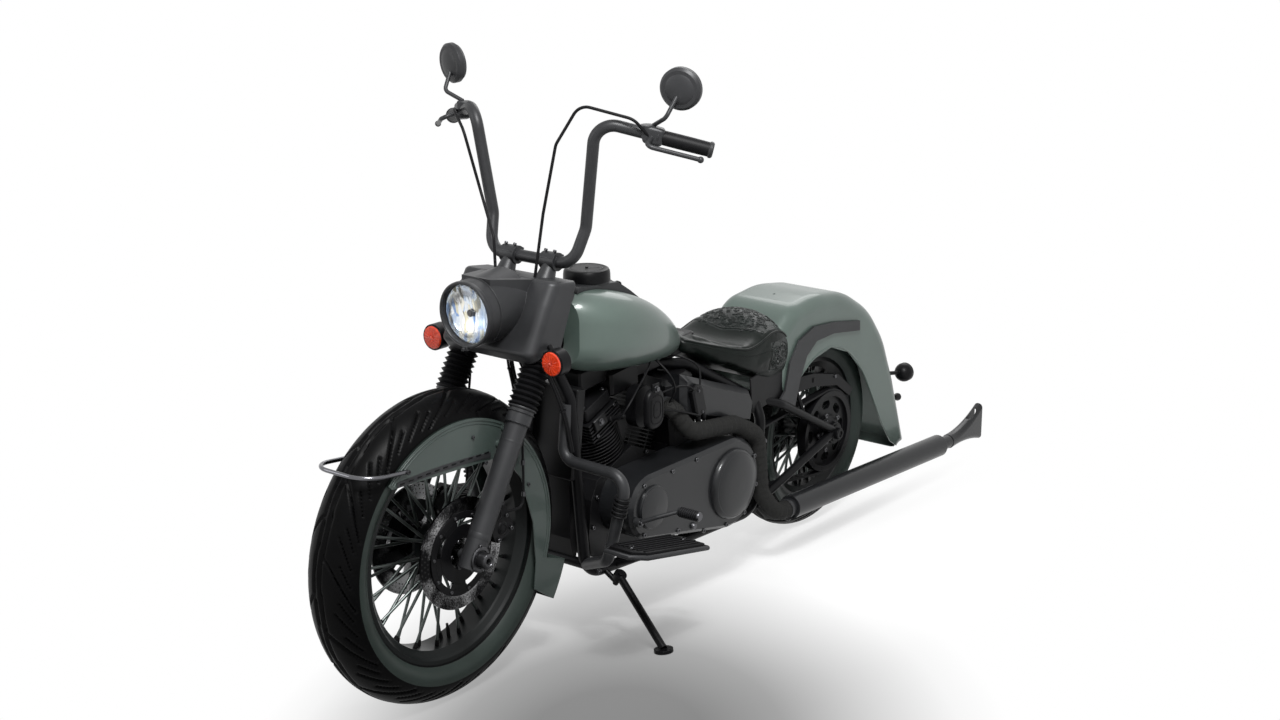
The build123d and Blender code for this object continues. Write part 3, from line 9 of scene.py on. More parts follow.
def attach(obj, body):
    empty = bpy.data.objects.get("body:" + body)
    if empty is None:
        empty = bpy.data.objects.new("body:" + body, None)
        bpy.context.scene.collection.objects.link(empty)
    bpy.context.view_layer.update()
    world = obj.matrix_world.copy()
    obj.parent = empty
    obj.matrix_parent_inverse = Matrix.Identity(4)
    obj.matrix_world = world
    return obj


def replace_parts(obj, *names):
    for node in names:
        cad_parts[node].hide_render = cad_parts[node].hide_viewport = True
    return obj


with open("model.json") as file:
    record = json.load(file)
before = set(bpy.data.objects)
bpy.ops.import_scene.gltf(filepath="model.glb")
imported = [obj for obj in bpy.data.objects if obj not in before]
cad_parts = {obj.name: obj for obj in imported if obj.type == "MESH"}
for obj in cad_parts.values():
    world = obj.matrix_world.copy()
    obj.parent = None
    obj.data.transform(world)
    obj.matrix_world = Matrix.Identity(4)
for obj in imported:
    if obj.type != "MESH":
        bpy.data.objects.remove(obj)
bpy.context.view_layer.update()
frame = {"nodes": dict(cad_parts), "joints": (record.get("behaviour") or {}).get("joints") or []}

NODES = frame["nodes"]


def vec(x, y, z):
    """A point or a direction."""
    return Vector((x, y, z))


# The bike is drawn upright, axles at these places, and leaned onto its stand.
LEAN = math.radians(7.0)
FRONT = vec(0.8175, 0.0, 0.408)
REAR = vec(-0.8175, 0.0, 0.32)
TURN = Matrix.Rotation(-LEAN, 4, "X")
SPIN = next(j for j in frame["joints"] if j["name"] == "front_wheel_spin")
UP = Matrix.Translation(Vector(SPIN["pos_m"]) - TURN @ FRONT) @ TURN
RAKE = math.radians(30.0)
ALONG = vec(-math.sin(RAKE), 0, math.cos(RAKE))
AHEAD = vec(math.cos(RAKE), 0, math.sin(RAKE))
ACROSS = vec(0, 1, 0)


def fork(u, y, w):
    """Point at u ahead of the fork line, y across and w up along it, in metres."""
    return FRONT + AHEAD * u + ALONG * w + vec(0, y, 0)


# Camera at the photograph's viewing angle

cam_data = bpy.data.cameras.new("camera")
cam_data.sensor_width = 36.0
cam_data.lens = 57.13
camera = bpy.data.objects.new("camera", cam_data)
bpy.context.scene.collection.objects.link(camera)
look = vec(-0.756303, -0.593915, -0.274445).normalized()
right = look.cross(vec(0, 0, 1)).normalized()
above = right.cross(look)
view = Matrix((right, above, -look)).transposed().to_4x4()
view.translation = vec(4.2898, 3.3838, 2.2729)
camera.matrix_world = UP @ view
bpy.context.scene.camera = camera
bpy.context.scene.view_settings.view_transform = "Standard"

# Node helpers for materials


def tree(name):
    """A new material with its node tree and main shader."""
    mat = bpy.data.materials.new(name)
    mat.use_nodes = True
    nt = mat.node_tree
    return mat, nt, nt.nodes["Principled BSDF"]


def give(node, **values):
    """Set a node's settings and unlinked inputs."""
    for key, value in values.items():
        if hasattr(node, key):
            setattr(node, key, value)
        else:
            node.inputs[key.replace("_", " ")].default_value = value
    return node


def add(nt, kind, **values):
    """A new node with its settings and unlinked inputs."""
    return give(nt.nodes.new("ShaderNode" + kind), **values)


def wire(source, target):
    """Link an output to an input."""
    source.id_data.links.new(source, target)


def coords(nt, scale=(1, 1, 1)):
    """Object coordinates, which don't move with the camera."""
    mapping = add(nt, "Mapping", Scale=scale)
    wire(add(nt, "TexCoord").outputs["Object"], mapping.inputs["Vector"])
    return mapping.outputs["Vector"]


def grain(nt, scale, detail=3.0, rough=0.55, vector=None):
    """Noise value between 0 and 1."""
    node = add(nt, "TexNoise", Scale=scale, Detail=detail, Roughness=rough)
    wire(vector or coords(nt), node.inputs["Vector"])
    return node.outputs["Fac"]


def ramp(nt, value, stops):
    """Colours along a value."""
    node = add(nt, "ValToRGB")
    while len(node.color_ramp.elements) < len(stops):
        node.color_ramp.elements.new(0.5)
    for element, (place, colour) in zip(node.color_ramp.elements, stops):
        element.position = place
        element.color = (*colour, 1.0)
    wire(value, node.inputs["Fac"])
    return node.outputs["Color"]


def span(nt, value, low, high):
    """A value between 0 and 1 stretched to a range."""
    node = add(nt, "MapRange", To_Min=low, To_Max=high)
    wire(value, node.inputs["Value"])
    return node.outputs["Result"]


def maths(nt, operation, a, b=None):
    """One step of arithmetic on values or sockets."""
    node = add(nt, "Math", operation=operation)
    for index, item in enumerate((a, b)):
        if isinstance(item, (int, float)):
            node.inputs[index].default_value = item
        elif item is not None:
            wire(item, node.inputs[index])
    return node.outputs["Value"]


def times(nt, a, b):
    """Product of two values."""
    return maths(nt, "MULTIPLY", a, b)


def plus(nt, a, b):
    """Sum of two values."""
    return maths(nt, "ADD", a, b)


def reach(nt, a, b):
    """Length of a vector with two parts."""
    return maths(nt, "SQRT", plus(nt, times(nt, a, a), times(nt, b, b)))


def blend(nt, share, colour, grey):
    """A colour that turns to a grey by a share."""
    node = add(nt, "Mix", data_type="RGBA")
    wire(share, node.inputs[0])
    wire(colour, node.inputs[6])
    node.inputs[7].default_value = (grey, grey, grey, 1)
    return node.outputs[2]


def bump(nt, shader, height, strength, distance, normal=None):
    """Bump from a height into a shader's normal."""
    node = add(nt, "Bump", Strength=strength, Distance=distance)
    wire(height, node.inputs["Height"])
    if normal is not None:
        wire(normal, node.inputs["Normal"])
    wire(node.outputs["Normal"], shader.inputs["Normal"])


def tinted(nt, shader, value, colour, gain, high):
    """Base colour that grows lighter where a noise value is high."""
    light = tuple(min(1.0, c * gain) for c in colour)
    wire(ramp(nt, value, [(0.3, colour), (high, light)]), shader.inputs["Base Color"])


def edge_highlit(nt, paint, normal, edge_highlight):
    """Painted highlight: paint that turns towards a lighter grey where an edge rounds."""
    dot = add(nt, "VectorMath", operation="DOT_PRODUCT")
    wire(normal, dot.inputs[0])
    wire(add(nt, "NewGeometry").outputs["Normal"], dot.inputs[1])
    turn = maths(nt, "SUBTRACT", 1.0, dot.outputs["Value"])
    return blend(nt, maths(nt, "MINIMUM", times(nt, turn, 6.0), 1.0), paint, edge_highlight)


def painted(
    name, colour, rough, metallic=0.0, coat=0.0, mottle=0.12, grit=260.0, depth=0.0002, edge=0.0015, edge_highlight=0.0, sheen=0.5
):
    """Painted or coated metal with fine grain, faint mottling and rounded edges; given an edge highlight grey, the
    rounded edges get a painted highlight.
    """
    mat, nt, shader = tree(name)
    dark = tuple(c * (1 - mottle) for c in colour)
    light = tuple(min(1.0, c * (1 + mottle)) for c in colour)
    cloud = grain(nt, 9.0, 4.0)
    fine = grain(nt, grit, 2.0)
    paint = ramp(nt, cloud, [(0.35, dark), (0.65, light)])
    normal = add(nt, "Bevel", samples=4, Radius=edge).outputs["Normal"]
    # Painted highlight: rounded edges, such as the engine's fin edges, turn towards the edge highlight grey.
    if edge_highlight:
        paint = edge_highlit(nt, paint, normal, edge_highlight)
    wire(paint, shader.inputs["Base Color"])
    spread = plus(nt, times(nt, cloud, 0.5), times(nt, fine, 0.5))
    wire(span(nt, spread, rough * 0.8, rough * 1.25), shader.inputs["Roughness"])
    give(shader, Metallic=metallic, Specular_IOR_Level=sheen)
    if coat:
        give(shader, Coat_Weight=coat, Coat_Roughness=0.1)
    bump(nt, shader, fine, 0.35, depth, normal)
    return mat


GREEN = (0.07, 0.096, 0.084)
VALANCE = (0.038, 0.051, 0.046)
mat_green = painted("green_enamel", GREEN, 0.4, 0.1, 0.4, 0.05, 700.0, 0.00004, 0.002, sheen=0.35)
mat_valance = painted("green_satin", VALANCE, 0.4, 0.1, 0.25, 0.08, 420.0, 0.00006, sheen=0.3)
mat_dark = painted("satin_dark_metal", (0.022, 0.0225, 0.024), 0.42, 0.2, 0.0, 0.14, 520.0, 0.00006, sheen=0.28)
mat_cover = painted("cover_dark", (0.009, 0.0095, 0.0105), 0.36, 0.1, 0.25, 0.12, 520.0, 0.00006, sheen=0.2)
mat_black = painted("satin_black_metal", (0.0035, 0.0035, 0.004), 0.36, 0.0, 0.0, 0.2, 420.0, 0.00006, sheen=0.12)
# Engine black with a painted highlight of grey 0.035 on its rounded edges.
mat_engine = painted("engine_black", (0.0045, 0.0045, 0.005), 0.4, 0.1, 0.0, 0.3, 300.0, 0.0002, 0.001, 0.035, 0.18)
mat_wheel = painted("wheel_green_grey", (0.004, 0.005, 0.005), 0.34, 0.0, 0.0, 0.15, 420.0, 0.00006, 0.001, sheen=0.2)
mat_spoke = painted("spoke_steel", (0.09, 0.102, 0.098), 0.34, 1.0, 0.0, 0.12, 420.0, 0.00004, 0.0006)
mat_rim = painted("rim_dark_green", (0.016, 0.023, 0.02), 0.4, 0.1, 0.0, 0.1, 300.0, 0.00006, sheen=0.25)
mat_chrome = painted("dark_chrome", (0.14, 0.14, 0.15), 0.2, 1.0, 0.0, 0.1, 500.0, 0.00003)
mat_bolt = painted("bolt_steel", (0.09, 0.09, 0.095), 0.34, 1.0, 0.0, 0.2, 600.0, 0.00006, 0.0006)


def rubber(name, colour, rough, gloss):
    """Dull moulded rubber."""
    mat, nt, shader = tree(name)
    cloud = grain(nt, 14.0, 5.0)
    tinted(nt, shader, cloud, colour, 1.7, 0.75)
    wire(span(nt, cloud, rough, rough + 0.18), shader.inputs["Roughness"])
    give(shader, Specular_IOR_Level=gloss)
    bump(nt, shader, grain(nt, 520.0, 2.0), 0.5, 0.00015)
    return mat


mat_tyre = rubber("tyre_rubber", (0.0012, 0.0012, 0.0013), 0.3, 0.05)
mat_rubber = rubber("moulded_rubber", (0.003, 0.003, 0.0034), 0.42, 0.12)


def drilled_steel(name, centre, radius, rows=3, pitch=0.0105, around=30, hole=0.0021):
    """Mottled bright brake disc with rows of drilled holes round its axle."""
    mat, nt, shader = tree(name)
    spots = grain(nt, 260.0, 5.0, 0.8)
    cloud = grain(nt, 9.0, 2.0)
    shift = add(nt, "VectorMath", operation="SUBTRACT")
    wire(add(nt, "TexCoord").outputs["Object"], shift.inputs[0])
    shift.inputs[1].default_value = UP @ centre
    tilt = add(nt, "VectorRotate", rotation_type="X_AXIS", Angle=LEAN)
    wire(shift.outputs["Vector"], tilt.inputs["Vector"])
    parts = add(nt, "SeparateXYZ")
    wire(tilt.outputs["Vector"], parts.inputs["Vector"])
    x, z = parts.outputs["X"], parts.outputs["Z"]
    r = reach(nt, x, z)
    turn = times(nt, maths(nt, "ARCTAN2", z, x), around / math.pi)
    level = times(nt, maths(nt, "SUBTRACT", r, radius - rows * pitch), 1 / pitch)
    turn = plus(nt, turn, times(nt, maths(nt, "FLOOR", level), 0.34))
    across = maths(nt, "SUBTRACT", maths(nt, "FRACT", turn), 0.5)
    across = times(nt, across, times(nt, r, math.pi / around))
    up = times(nt, maths(nt, "SUBTRACT", maths(nt, "FRACT", level), 0.5), pitch)
    drilled = maths(nt, "LESS_THAN", reach(nt, across, up), hole)
    drilled = times(nt, drilled, maths(nt, "GREATER_THAN", level, 0.0))
    patches = plus(nt, times(nt, spots, 0.35), times(nt, cloud, 0.65))
    steel = ramp(nt, patches, [(0.47, (0.01, 0.01, 0.011)), (0.6, (0.62, 0.62, 0.63))])
    wire(blend(nt, drilled, steel, 0.0015), shader.inputs["Base Color"])
    wire(span(nt, cloud, 0.16, 0.34), shader.inputs["Roughness"])
    wire(maths(nt, "SUBTRACT", 1.0, drilled), shader.inputs["Metallic"])
    bump(nt, shader, maths(nt, "SUBTRACT", spots, drilled), 0.4, 0.0003)
    return mat


def cells(nt, scale, vector, **values):
    """Voronoi cells along a vector."""
    node = add(nt, "TexVoronoi", Scale=scale, **values)
    wire(vector, node.inputs["Vector"])
    return node.outputs


def leather(name, colour):
    """Smooth dark leather with pores and creases."""
    mat, nt, shader = tree(name)
    vector = coords(nt)
    pores = cells(nt, 420.0, vector, feature="DISTANCE_TO_EDGE")["Distance"]
    cloud = grain(nt, 16.0, 5.0, 0.6, vector)
    tinted(nt, shader, cloud, colour, 2.2, 0.72)
    wire(span(nt, cloud, 0.26, 0.44), shader.inputs["Roughness"])
    give(shader, Specular_IOR_Level=0.15)
    creases = grain(nt, 60.0, 6.0, 0.65, vector)
    bump(nt, shader, plus(nt, times(nt, pores, 0.5), creases), 0.5, 0.0006)
    return mat


def tooled(name, colour):
    """Leather with a stippled ground."""
    mat, nt, shader = tree(name)
    vector = coords(nt)
    cloud = grain(nt, 30.0, 4.0, 0.6, vector)
    tinted(nt, shader, cloud, colour, 2.4, 0.72)
    wire(span(nt, cloud, 0.16, 0.3), shader.inputs["Roughness"])
    give(shader, Specular_IOR_Level=0.32)
    bump(nt, shader, cells(nt, 480.0, vector)["Distance"], 0.8, 0.0009)
    return mat


def glass(name, colour, rough):
    """Clear or tinted lens plastic."""
    mat, nt, shader = tree(name)
    tinted(nt, shader, grain(nt, 40.0, 2.0), colour, 1.04, 0.7)
    give(shader, Roughness=rough, Transmission_Weight=1.0, IOR=1.45)
    return mat


def lamp_orange():
    """Orange lens plastic with a faint glow."""
    mat, nt, shader = tree("orange_lens")
    cloud = grain(nt, 90.0, 2.0)
    shades = [(0.3, (0.4, 0.022, 0.006)), (0.7, (0.54, 0.042, 0.008))]
    wire(ramp(nt, cloud, shades), shader.inputs["Base Color"])
    give(shader, Roughness=0.16, Coat_Weight=0.2, Emission_Color=(0.9, 0.08, 0.01, 1), Emission_Strength=0.03)
    bump(nt, shader, cloud, 0.3, 0.0004)
    return mat


def reflector():
    """Bright faceted reflector behind the clear lens, with painted reflections: each facet takes a random colour from a
    run of blue, white, gold and dark.
    """
    mat, nt, shader = tree("reflector_silver")
    facets = cells(nt, 46.0, coords(nt, (0.4, 2.2, 0.8)))
    reflection_pick = add(nt, "SeparateColor")
    wire(facets["Color"], reflection_pick.inputs["Color"])
    # Painted reflections: the facet colours run from blue through white and gold to dark.
    shades = [
        (0.0, (0.2, 0.34, 0.62)), (0.2, (0.8, 0.88, 0.97)), (0.6, (1.0, 1.0, 1.0)),
        (0.86, (0.92, 0.86, 0.66)), (1.0, (0.16, 0.15, 0.13)),
    ]
    wire(ramp(nt, reflection_pick.outputs["Red"], shades), shader.inputs["Base Color"])
    give(shader, Metallic=0.9, Roughness=0.22)
    bump(nt, shader, facets["Distance"], 0.45, 0.002)
    return mat


def wrap_cloth():
    """Dark woven heat wrap."""
    mat, nt, shader = tree("heat_wrap")
    vector = coords(nt)
    weave = add(nt, "TexWave", wave_type="BANDS", bands_direction="DIAGONAL", Scale=180.0, Distortion=3.0)
    wire(vector, weave.inputs["Vector"])
    both = plus(nt, times(nt, weave.outputs["Fac"], 0.5), times(nt, grain(nt, 380.0, 3.0, 0.6, vector), 0.5))
    wire(ramp(nt, both, [(0.2, (0.004, 0.004, 0.004)), (0.8, (0.02, 0.02, 0.019))]), shader.inputs["Base Color"])
    give(shader, Roughness=0.8, Specular_IOR_Level=0.15)
    bump(nt, shader, both, 0.8, 0.0008)
    return mat


mat_disc = drilled_steel("disc_steel", FRONT, 0.146)
mat_rear_disc = drilled_steel("rear_disc_steel", REAR, 0.14)
mat_leather = leather("dark_leather", (0.0026, 0.0038, 0.0032))
mat_tooled = tooled("tooled_leather", (0.004, 0.0056, 0.005))
mat_lens = glass("clear_lens", (0.97, 0.99, 1.0), 0.02)
mat_orange = lamp_orange()
mat_reflector = reflector()
mat_wrap = wrap_cloth()
mat_mirror = painted("mirror_glass", (0.82, 0.83, 0.84), 0.04, 1.0, 0.0, 0.02, 80.0, 0.00001)

# Finish of each CAD piece; the other pieces are black metal
FINISH = {
    mat_tyre: "front_tyre rear_tyre",
    mat_wheel: "front_wheel rear_wheel",
    mat_disc: "front_discs",
    mat_rear_disc: "rear_disc",
    mat_rubber: "fork_boots grips control_cables footboards drive_belt",
    mat_dark: "fork lamp_housing handlebar hand_controls mirrors dash fender_struts engine_guard foot_controls",
    mat_lens: "headlamp_lens",
    mat_orange: "signal_lenses",
    mat_valance: "front_fender",
    mat_chrome: "fender_rail",
    mat_green: "fuel_tank rear_fender",
    mat_leather: "seat",
    mat_engine: "engine_case cylinders",
    mat_cover: "primary_cover oil_tank headers mufflers",
}
for node in NODES.values():
    node.data.materials.clear()
    node.data.materials.append(mat_black)
for mat, names in FINISH.items():
    for name in names.split():
        NODES[name].data.materials[0] = mat


def spokes(node, centre, hub, rim):
    """Give the spokes between hub and rim their own bright steel and a fuller round."""
    mesh = node.data
    mesh.materials.append(mat_spoke)
    down = UP.inverted() @ node.matrix_world

    def off_axle(point):
        at = down @ point
        return math.hypot(at.x - centre.x, at.z - centre.z)

    for face in mesh.polygons:
        if hub < off_axle(face.center) < rim:
            face.material_index = 1
    group = node.vertex_groups.new(name="spokes")
    group.add([v.index for v in mesh.vertices if hub < off_axle(v.co) < rim + 0.004], 1.0, "REPLACE")
    swell = node.modifiers.new("swell", "DISPLACE")
    swell.vertex_group = "spokes"
    swell.mid_level = 0.0
    swell.strength = 0.0009


spokes(NODES["front_wheel"], FRONT, 0.062, 0.255)
spokes(NODES["rear_wheel"], REAR, 0.07, 0.185)

# Mesh helpers, all in the upright frame in metres


def link(name, data):
    """A new object in the scene."""
    obj = bpy.data.objects.new(name, data)
    bpy.context.scene.collection.objects.link(obj)
    return obj


def piece(name, verts, faces, body, mats, angle, skins):
    """A mesh from upright points, set down in the frame and riding on a body."""
    mesh = bpy.data.meshes.new(name)
    mesh.from_pydata([tuple(v) for v in verts], [], [tuple(f) for f in faces])
    mesh.validate()
    mesh.transform(UP)
    for mat in mats:
        mesh.materials.append(mat)
    mesh.polygons.foreach_set("material_index", skins)
    mesh.polygons.foreach_set("use_smooth", [True] * len(mesh.polygons))
    mesh.set_sharp_from_angle(angle=math.radians(angle))
    mesh.update()
    obj = link(name, mesh)
    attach(obj, body)
    return obj


class Bunch:
    """Points and faces of several shapes gathered into one piece."""

    def __init__(self):
        self.verts = []
        self.faces = []
        self.skins = []

    def put(self, verts, faces, skin=0, at=None):
        """Add a shape, set by a matrix, or by a place and a direction."""
        base = len(self.verts)
        if isinstance(at, tuple):
            at = facing(*at)
        self.verts += [at @ Vector(v) if at else Vector(v) for v in verts]
        self.faces += [tuple(i + base for i in f) for f in faces]
        self.skins += [skin] * len(faces)

    def turned(self, profile, steps, skin, at):
        """Add an open profile turned about its axis."""
        self.put(*lathe(profile, steps), skin, at)

    def make(self, name, body, mats, angle=35.0):
        return piece(name, self.verts, self.faces, body, mats, angle, self.skins)


def grid(rows, close_rows=False, close_columns=True):
    """Faces over a list of equally long rows of points."""
    verts = [p for row in rows for p in row]
    n = len(rows[0])
    faces = []
    for i in range(len(rows) - (0 if close_rows else 1)):
        for j in range(n - (0 if close_columns else 1)):
            k, m = (j + 1) % n, ((i + 1) % len(rows)) * n
            faces.append((i * n + j, i * n + k, m + k, m + j))
    return verts, faces


def lathe(profile, steps=48, closed=False, arc=(0.0, 360.0)):
    """Shape about +Z from (radius, height) points; closed joins the last to the first."""
    full = abs(arc[1] - arc[0]) >= 359.9
    rows = []
    for k in range(steps if full else steps + 1):
        a = math.radians(arc[0] + (arc[1] - arc[0]) * k / steps)
        rows.append([vec(r * math.cos(a), r * math.sin(a), h) for r, h in profile])
    return grid(rows, full, closed)


def facing(origin, direction, hint=(0, 0, 1)):
    """Matrix that sets +Z along a direction at a place."""
    z = Vector(direction).normalized()
    x = Vector(hint) - z * Vector(hint).dot(z)
    if x.length < 1e-6:
        x = vec(1, 0, 0) - z * z.x
    x.normalize()
    m = Matrix((x, z.cross(x), z)).transposed().to_4x4()
    m.translation = Vector(origin)
    return m


def curve(a, b, c, d, t):
    """Smooth curve from b to c, for numbers or points."""
    return 0.5 * (2 * b + (c - a) * t + (2 * a - 5 * b + 4 * c - d) * t * t + (3 * b - a - 3 * c + d) * t**3)


def four(items, i):
    """The items round the step from i to the next."""
    last = len(items) - 1
    return items[max(i - 1, 0)], items[i], items[i + 1], items[min(i + 2, last)]


def smooth_path(points, per=8):
    """Points of a smooth curve through the given ones."""
    pts = [Vector(p) for p in points]
    return [curve(*four(pts, i), k / per) for i in range(len(pts) - 1) for k in range(per)] + [pts[-1]]


def tube(path, radius, sides=12):
    """Closed tube along points; the radius may be a number or a function of the share."""
    path = [Vector(p) for p in path]
    tangent = (path[1] - path[0]).normalized()
    normal = tangent.orthogonal().normalized()
    rows = []
    for i, p in enumerate(path):
        new = (path[min(i + 1, len(path) - 1)] - path[max(i - 1, 0)]).normalized()
        normal = (tangent.rotation_difference(new)) @ normal
        tangent = new
        side = tangent.cross(normal)
        r = radius(i / (len(path) - 1)) if callable(radius) else radius
        turns = [2 * math.pi * k / sides for k in range(sides)]
        rows.append([p + (normal * math.cos(a) + side * math.sin(a)) * r for a in turns])
    return capped(rows)


def capped(rows):
    """Closed rows of points with both ends filled."""
    verts, faces = grid(rows)
    n = len(rows[0])
    return verts, faces + [tuple(reversed(range(n))), tuple(range(len(verts) - n, len(verts)))]


def cap_bolt(radius, height):
    """Socket cap screw head about +Z, sitting at the origin."""
    shape = ((0, 0), (1, 0), (1, 0.85), (0.88, 1), (0.5, 1), (0.45, 0.55), (0, 0.55))
    return lathe([(radius * r, height * h) for r, h in shape], 16)


def hex_bolt(radius, height):
    """Hexagon head on a washer about +Z."""
    bolt = Bunch()
    washer, head = ((0, 0), (1.25, 0), (1.25, 0.15), (0, 0.15)), ((0, 0.1), (1, 0.1), (1, 0.9), (0.85, 1), (0, 1))
    for shape, steps in ((washer, 20), (head, 6)):
        bolt.put(*lathe([(radius * r, height * h) for r, h in shape], steps))
    return bolt.verts, bolt.faces


def polar(angle, radius, y, centre):
    """Point at an angle round an axle, in the side view."""
    a = math.radians(angle)
    return vec(centre.x + radius * math.cos(a), y, centre.z + radius * math.sin(a))


# Tyres with a cut tread and a painted sidewall

TREAD = 0.0056
SLOPE = 0.003


def tread_depth(s, t, pitch):
    """Groove depth at arc length s and cross share t, from -1 to 1."""
    a = abs(t)
    place = s / pitch + (0.5 if t > 0 else 0.0)
    cuts = [0.0]

    def gap(shift):
        sweep = place + 0.8 * a**1.5 + shift
        return abs(sweep - round(sweep)) * pitch

    if 0.1 < a < 0.97:
        cuts.append(1.0 - max(0.0, gap(0.0) - 0.0046) / SLOPE)
    for k in (0.25, 0.5, 0.75):
        low = 0.42 + 0.12 * abs(k - 0.5) * 4
        if low < a < 0.92:
            fade = min(1.0, (a - low) / 0.04, (0.92 - a) / 0.04)
            cuts.append(fade * (1.0 - max(0.0, gap(k) - 0.0028) / SLOPE))
    wave = abs(a - 0.1 - 0.03 * math.sin(2 * math.pi * place)) * 0.099
    cuts.append(1.0 - max(0.0, wave - 0.0028) / 0.0016)
    return TREAD * max(0.0, min(1.0, max(cuts)))


def make_tyre(name, node, body, centre, radius, crown_y, bulge, bead, around, across, pitches, green):
    """Tyre mesh with grooves pressed into the crown and a green band on its walls."""
    crown = 0.08
    edge = math.asin(crown_y / crown)
    core = radius - crown
    circumference = 2 * math.pi * radius
    wall = [(bead[0] - 0.01, bead[1] + 0.004), bead]
    for k in range(1, 9):
        t = k / 8
        y = bead[0] + (bulge[0] - bead[0]) * math.sin(t * math.pi / 2) ** 0.9
        wall.append((y, bead[1] + (bulge[1] - bead[1]) * t))
    wall.append((bulge[0] * 1.002, (bulge[1] + core + crown * math.cos(edge)) / 2))
    rows = []
    for i in range(around):
        a = 2 * math.pi * i / around
        section = list(wall)
        for k in range(across + 1):
            t = 1 - 2 * k / across
            cut = tread_depth(circumference * i / around, t, circumference / pitches) if 0 < k < across else 0
            section.append(((crown - cut) * math.sin(t * edge), core + (crown - cut) * math.cos(t * edge)))
        section += [(-y, r) for y, r in reversed(wall)]
        rows.append([centre + vec(r * math.cos(a), y, r * math.sin(a)) for y, r in section])
    verts, faces = grid(rows, close_rows=True)
    skins = []
    for f in faces:
        mid = (verts[f[0]] + verts[f[2]]) / 2
        r = math.hypot(mid.x - centre.x, mid.z - centre.z)
        skins.append(1 if green[0] < r < green[1] and abs(mid.y) > bead[0] - 0.004 else 0)
    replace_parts(piece(name, verts, faces, body, [mat_tyre, mat_rim], 60, skins), node)


make_tyre(
    "front_tyre_cut", "front_tyre", "front_wheel", FRONT, 0.408, 0.0756,
    (0.0785, 0.336), (0.0462, 0.2885), 840, 44, 13, (0.298, 0.347),
)
make_tyre(
    "rear_tyre_cut", "rear_tyre", "rear_wheel", REAR, 0.32, 0.076,
    (0.08, 0.262), (0.0502, 0.2165), 620, 40, 10, (0.222, 0.27),
)

# Spoke nipples, valve stems and hub bolts


def wheel_trim(name, body, centre, well, hub_y, nipples=20, studs=5, lead=15.0):
    """Nipples round the rim, hub bolts and a valve."""
    bunch = Bunch()
    step = 360.0 / nipples
    nipple = lathe([(0, 0), (0.0058, 0), (0.0058, 0.01), (0.0048, 0.02), (0, 0.02)], 8)
    for side in (-1, 1):
        for index in range(nipples):
            turn = index * step + side * step / 4
            at = polar(turn, well, side * 0.012, centre)
            aim = polar(turn + (lead if index % 2 else -lead), 0.05, side * 0.03, centre) - at
            bunch.put(*nipple, 0, (at, aim))
        for k in range(studs):
            bunch.put(
                *cap_bolt(0.0055, 0.006), 1, (polar(k * 360 / studs, 0.036, side * hub_y, centre), ACROSS * side)
            )
    foot = polar(262, well, 0, centre)
    valve = [(0, 0), (0.005, 0), (0.005, 0.03), (0.0035, 0.034), (0.0035, 0.042), (0, 0.042)]
    bunch.turned(valve, 10, 0, (foot, polar(262, 0, 0, centre) - foot))
    bunch.make(name, body, [mat_black, mat_bolt])


# Carriers of the front discs

ARMS = [(72 * k + 10, 72 * k + 44) for k in range(5)]
carrier = Bunch()
for side in (-1, 1):
    for inner, outer, sectors in ((0.04, 0.076, [(0, 360)]), (0.092, 0.11, [(0, 360)]), (0.075, 0.093, ARMS)):
        for start, stop in sectors:
            section = [(inner, -0.0015), (outer, -0.0015), (outer, 0.0015), (inner, 0.0015)]
            verts, faces = lathe(section, 60 if stop - start > 300 else 8, True, (start, stop))
            carrier.put(verts, faces, 0, (FRONT + vec(0, side * 0.0878, 0), (0, side, 0)))
    for k in range(10):
        carrier.put(*cap_bolt(0.0045, 0.003), 1, (polar(36 * k + 6, 0.101, side * 0.0892, FRONT), (0, side, 0)))
carrier.make("disc_carriers", "front_wheel", [mat_black, mat_bolt])

wheel_trim("front_wheel_trim", "front_wheel", FRONT, 0.268, 0.0865)
wheel_trim("rear_wheel_trim", "rear_wheel", REAR, 0.196, 0.119)

# Lamp, dash and mirrors

LAMP = vec(0.69, 0, 0.986)
LAMP_OUT = vec(0.15, 0, -0.004).normalized()


def bolts(bunch, places, out, radius=0.006, height=0.005, skin=1, kind=cap_bolt):
    """A bolt at each place, facing one way."""
    for place in places:
        bunch.put(*kind(radius, height), skin, (place, out))


def ring(major, minor, steps=48, sides=10):
    """Round ring about +Z."""
    profile = [
        (major + minor * math.cos(2 * math.pi * k / sides), minor * math.sin(2 * math.pi * k / sides))
        for k in range(sides)
    ]
    return lathe(profile, steps, True)


def block(size, at=(0, 0, 0), bevel=0.15):
    """Box about the origin with cut corners, as eight-sided layers."""
    x, y, z = (v / 2 for v in size)
    b = min(size) * bevel
    rows = []
    for height, inset in ((-z, b), (-z + b, 0), (z - b, 0), (z, b)):
        u, v = x - inset, y - inset
        quarter = [(u - b, v), (-u + b, v), (-u, v - b), (-u, -v + b)]
        corners = quarter + [(-p, -q) for p, q in quarter]
        rows.append([Vector(at) + vec(p, q, height) for p, q in corners])
    return capped(rows)


def tilted(at, angle, axis):
    """Matrix for a place, turned about one axis."""
    return Matrix.Translation(at) @ Matrix.Rotation(angle, 4, axis)


def bent_path(points, radius, per=8):
    """Straight runs joined by arcs."""
    pts = [Vector(p) for p in points]
    out = [pts[0]]
    for a, b, c in zip(pts, pts[1:], pts[2:]):
        u, v = (a - b).normalized(), (c - b).normalized()
        half = u.angle(v) / 2
        centre = b + (u + v).normalized() * (radius / math.sin(half))
        start = (b + u * radius / math.tan(half) - centre).normalized()
        end = (b + v * radius / math.tan(half) - centre).normalized()
        out += [centre + start.slerp(end, k / per).normalized() * radius for k in range(per + 1)]
    return out + [pts[-1]]


def even(path, step):
    """The same path at even steps."""
    out = [path[0]]
    left = step
    for a, b in zip(path, path[1:]):
        run = (b - a).length
        at = left
        while at < run:
            out.append(a.lerp(b, at / run))
            at += step
        left = at - run
    return out + [path[-1]]


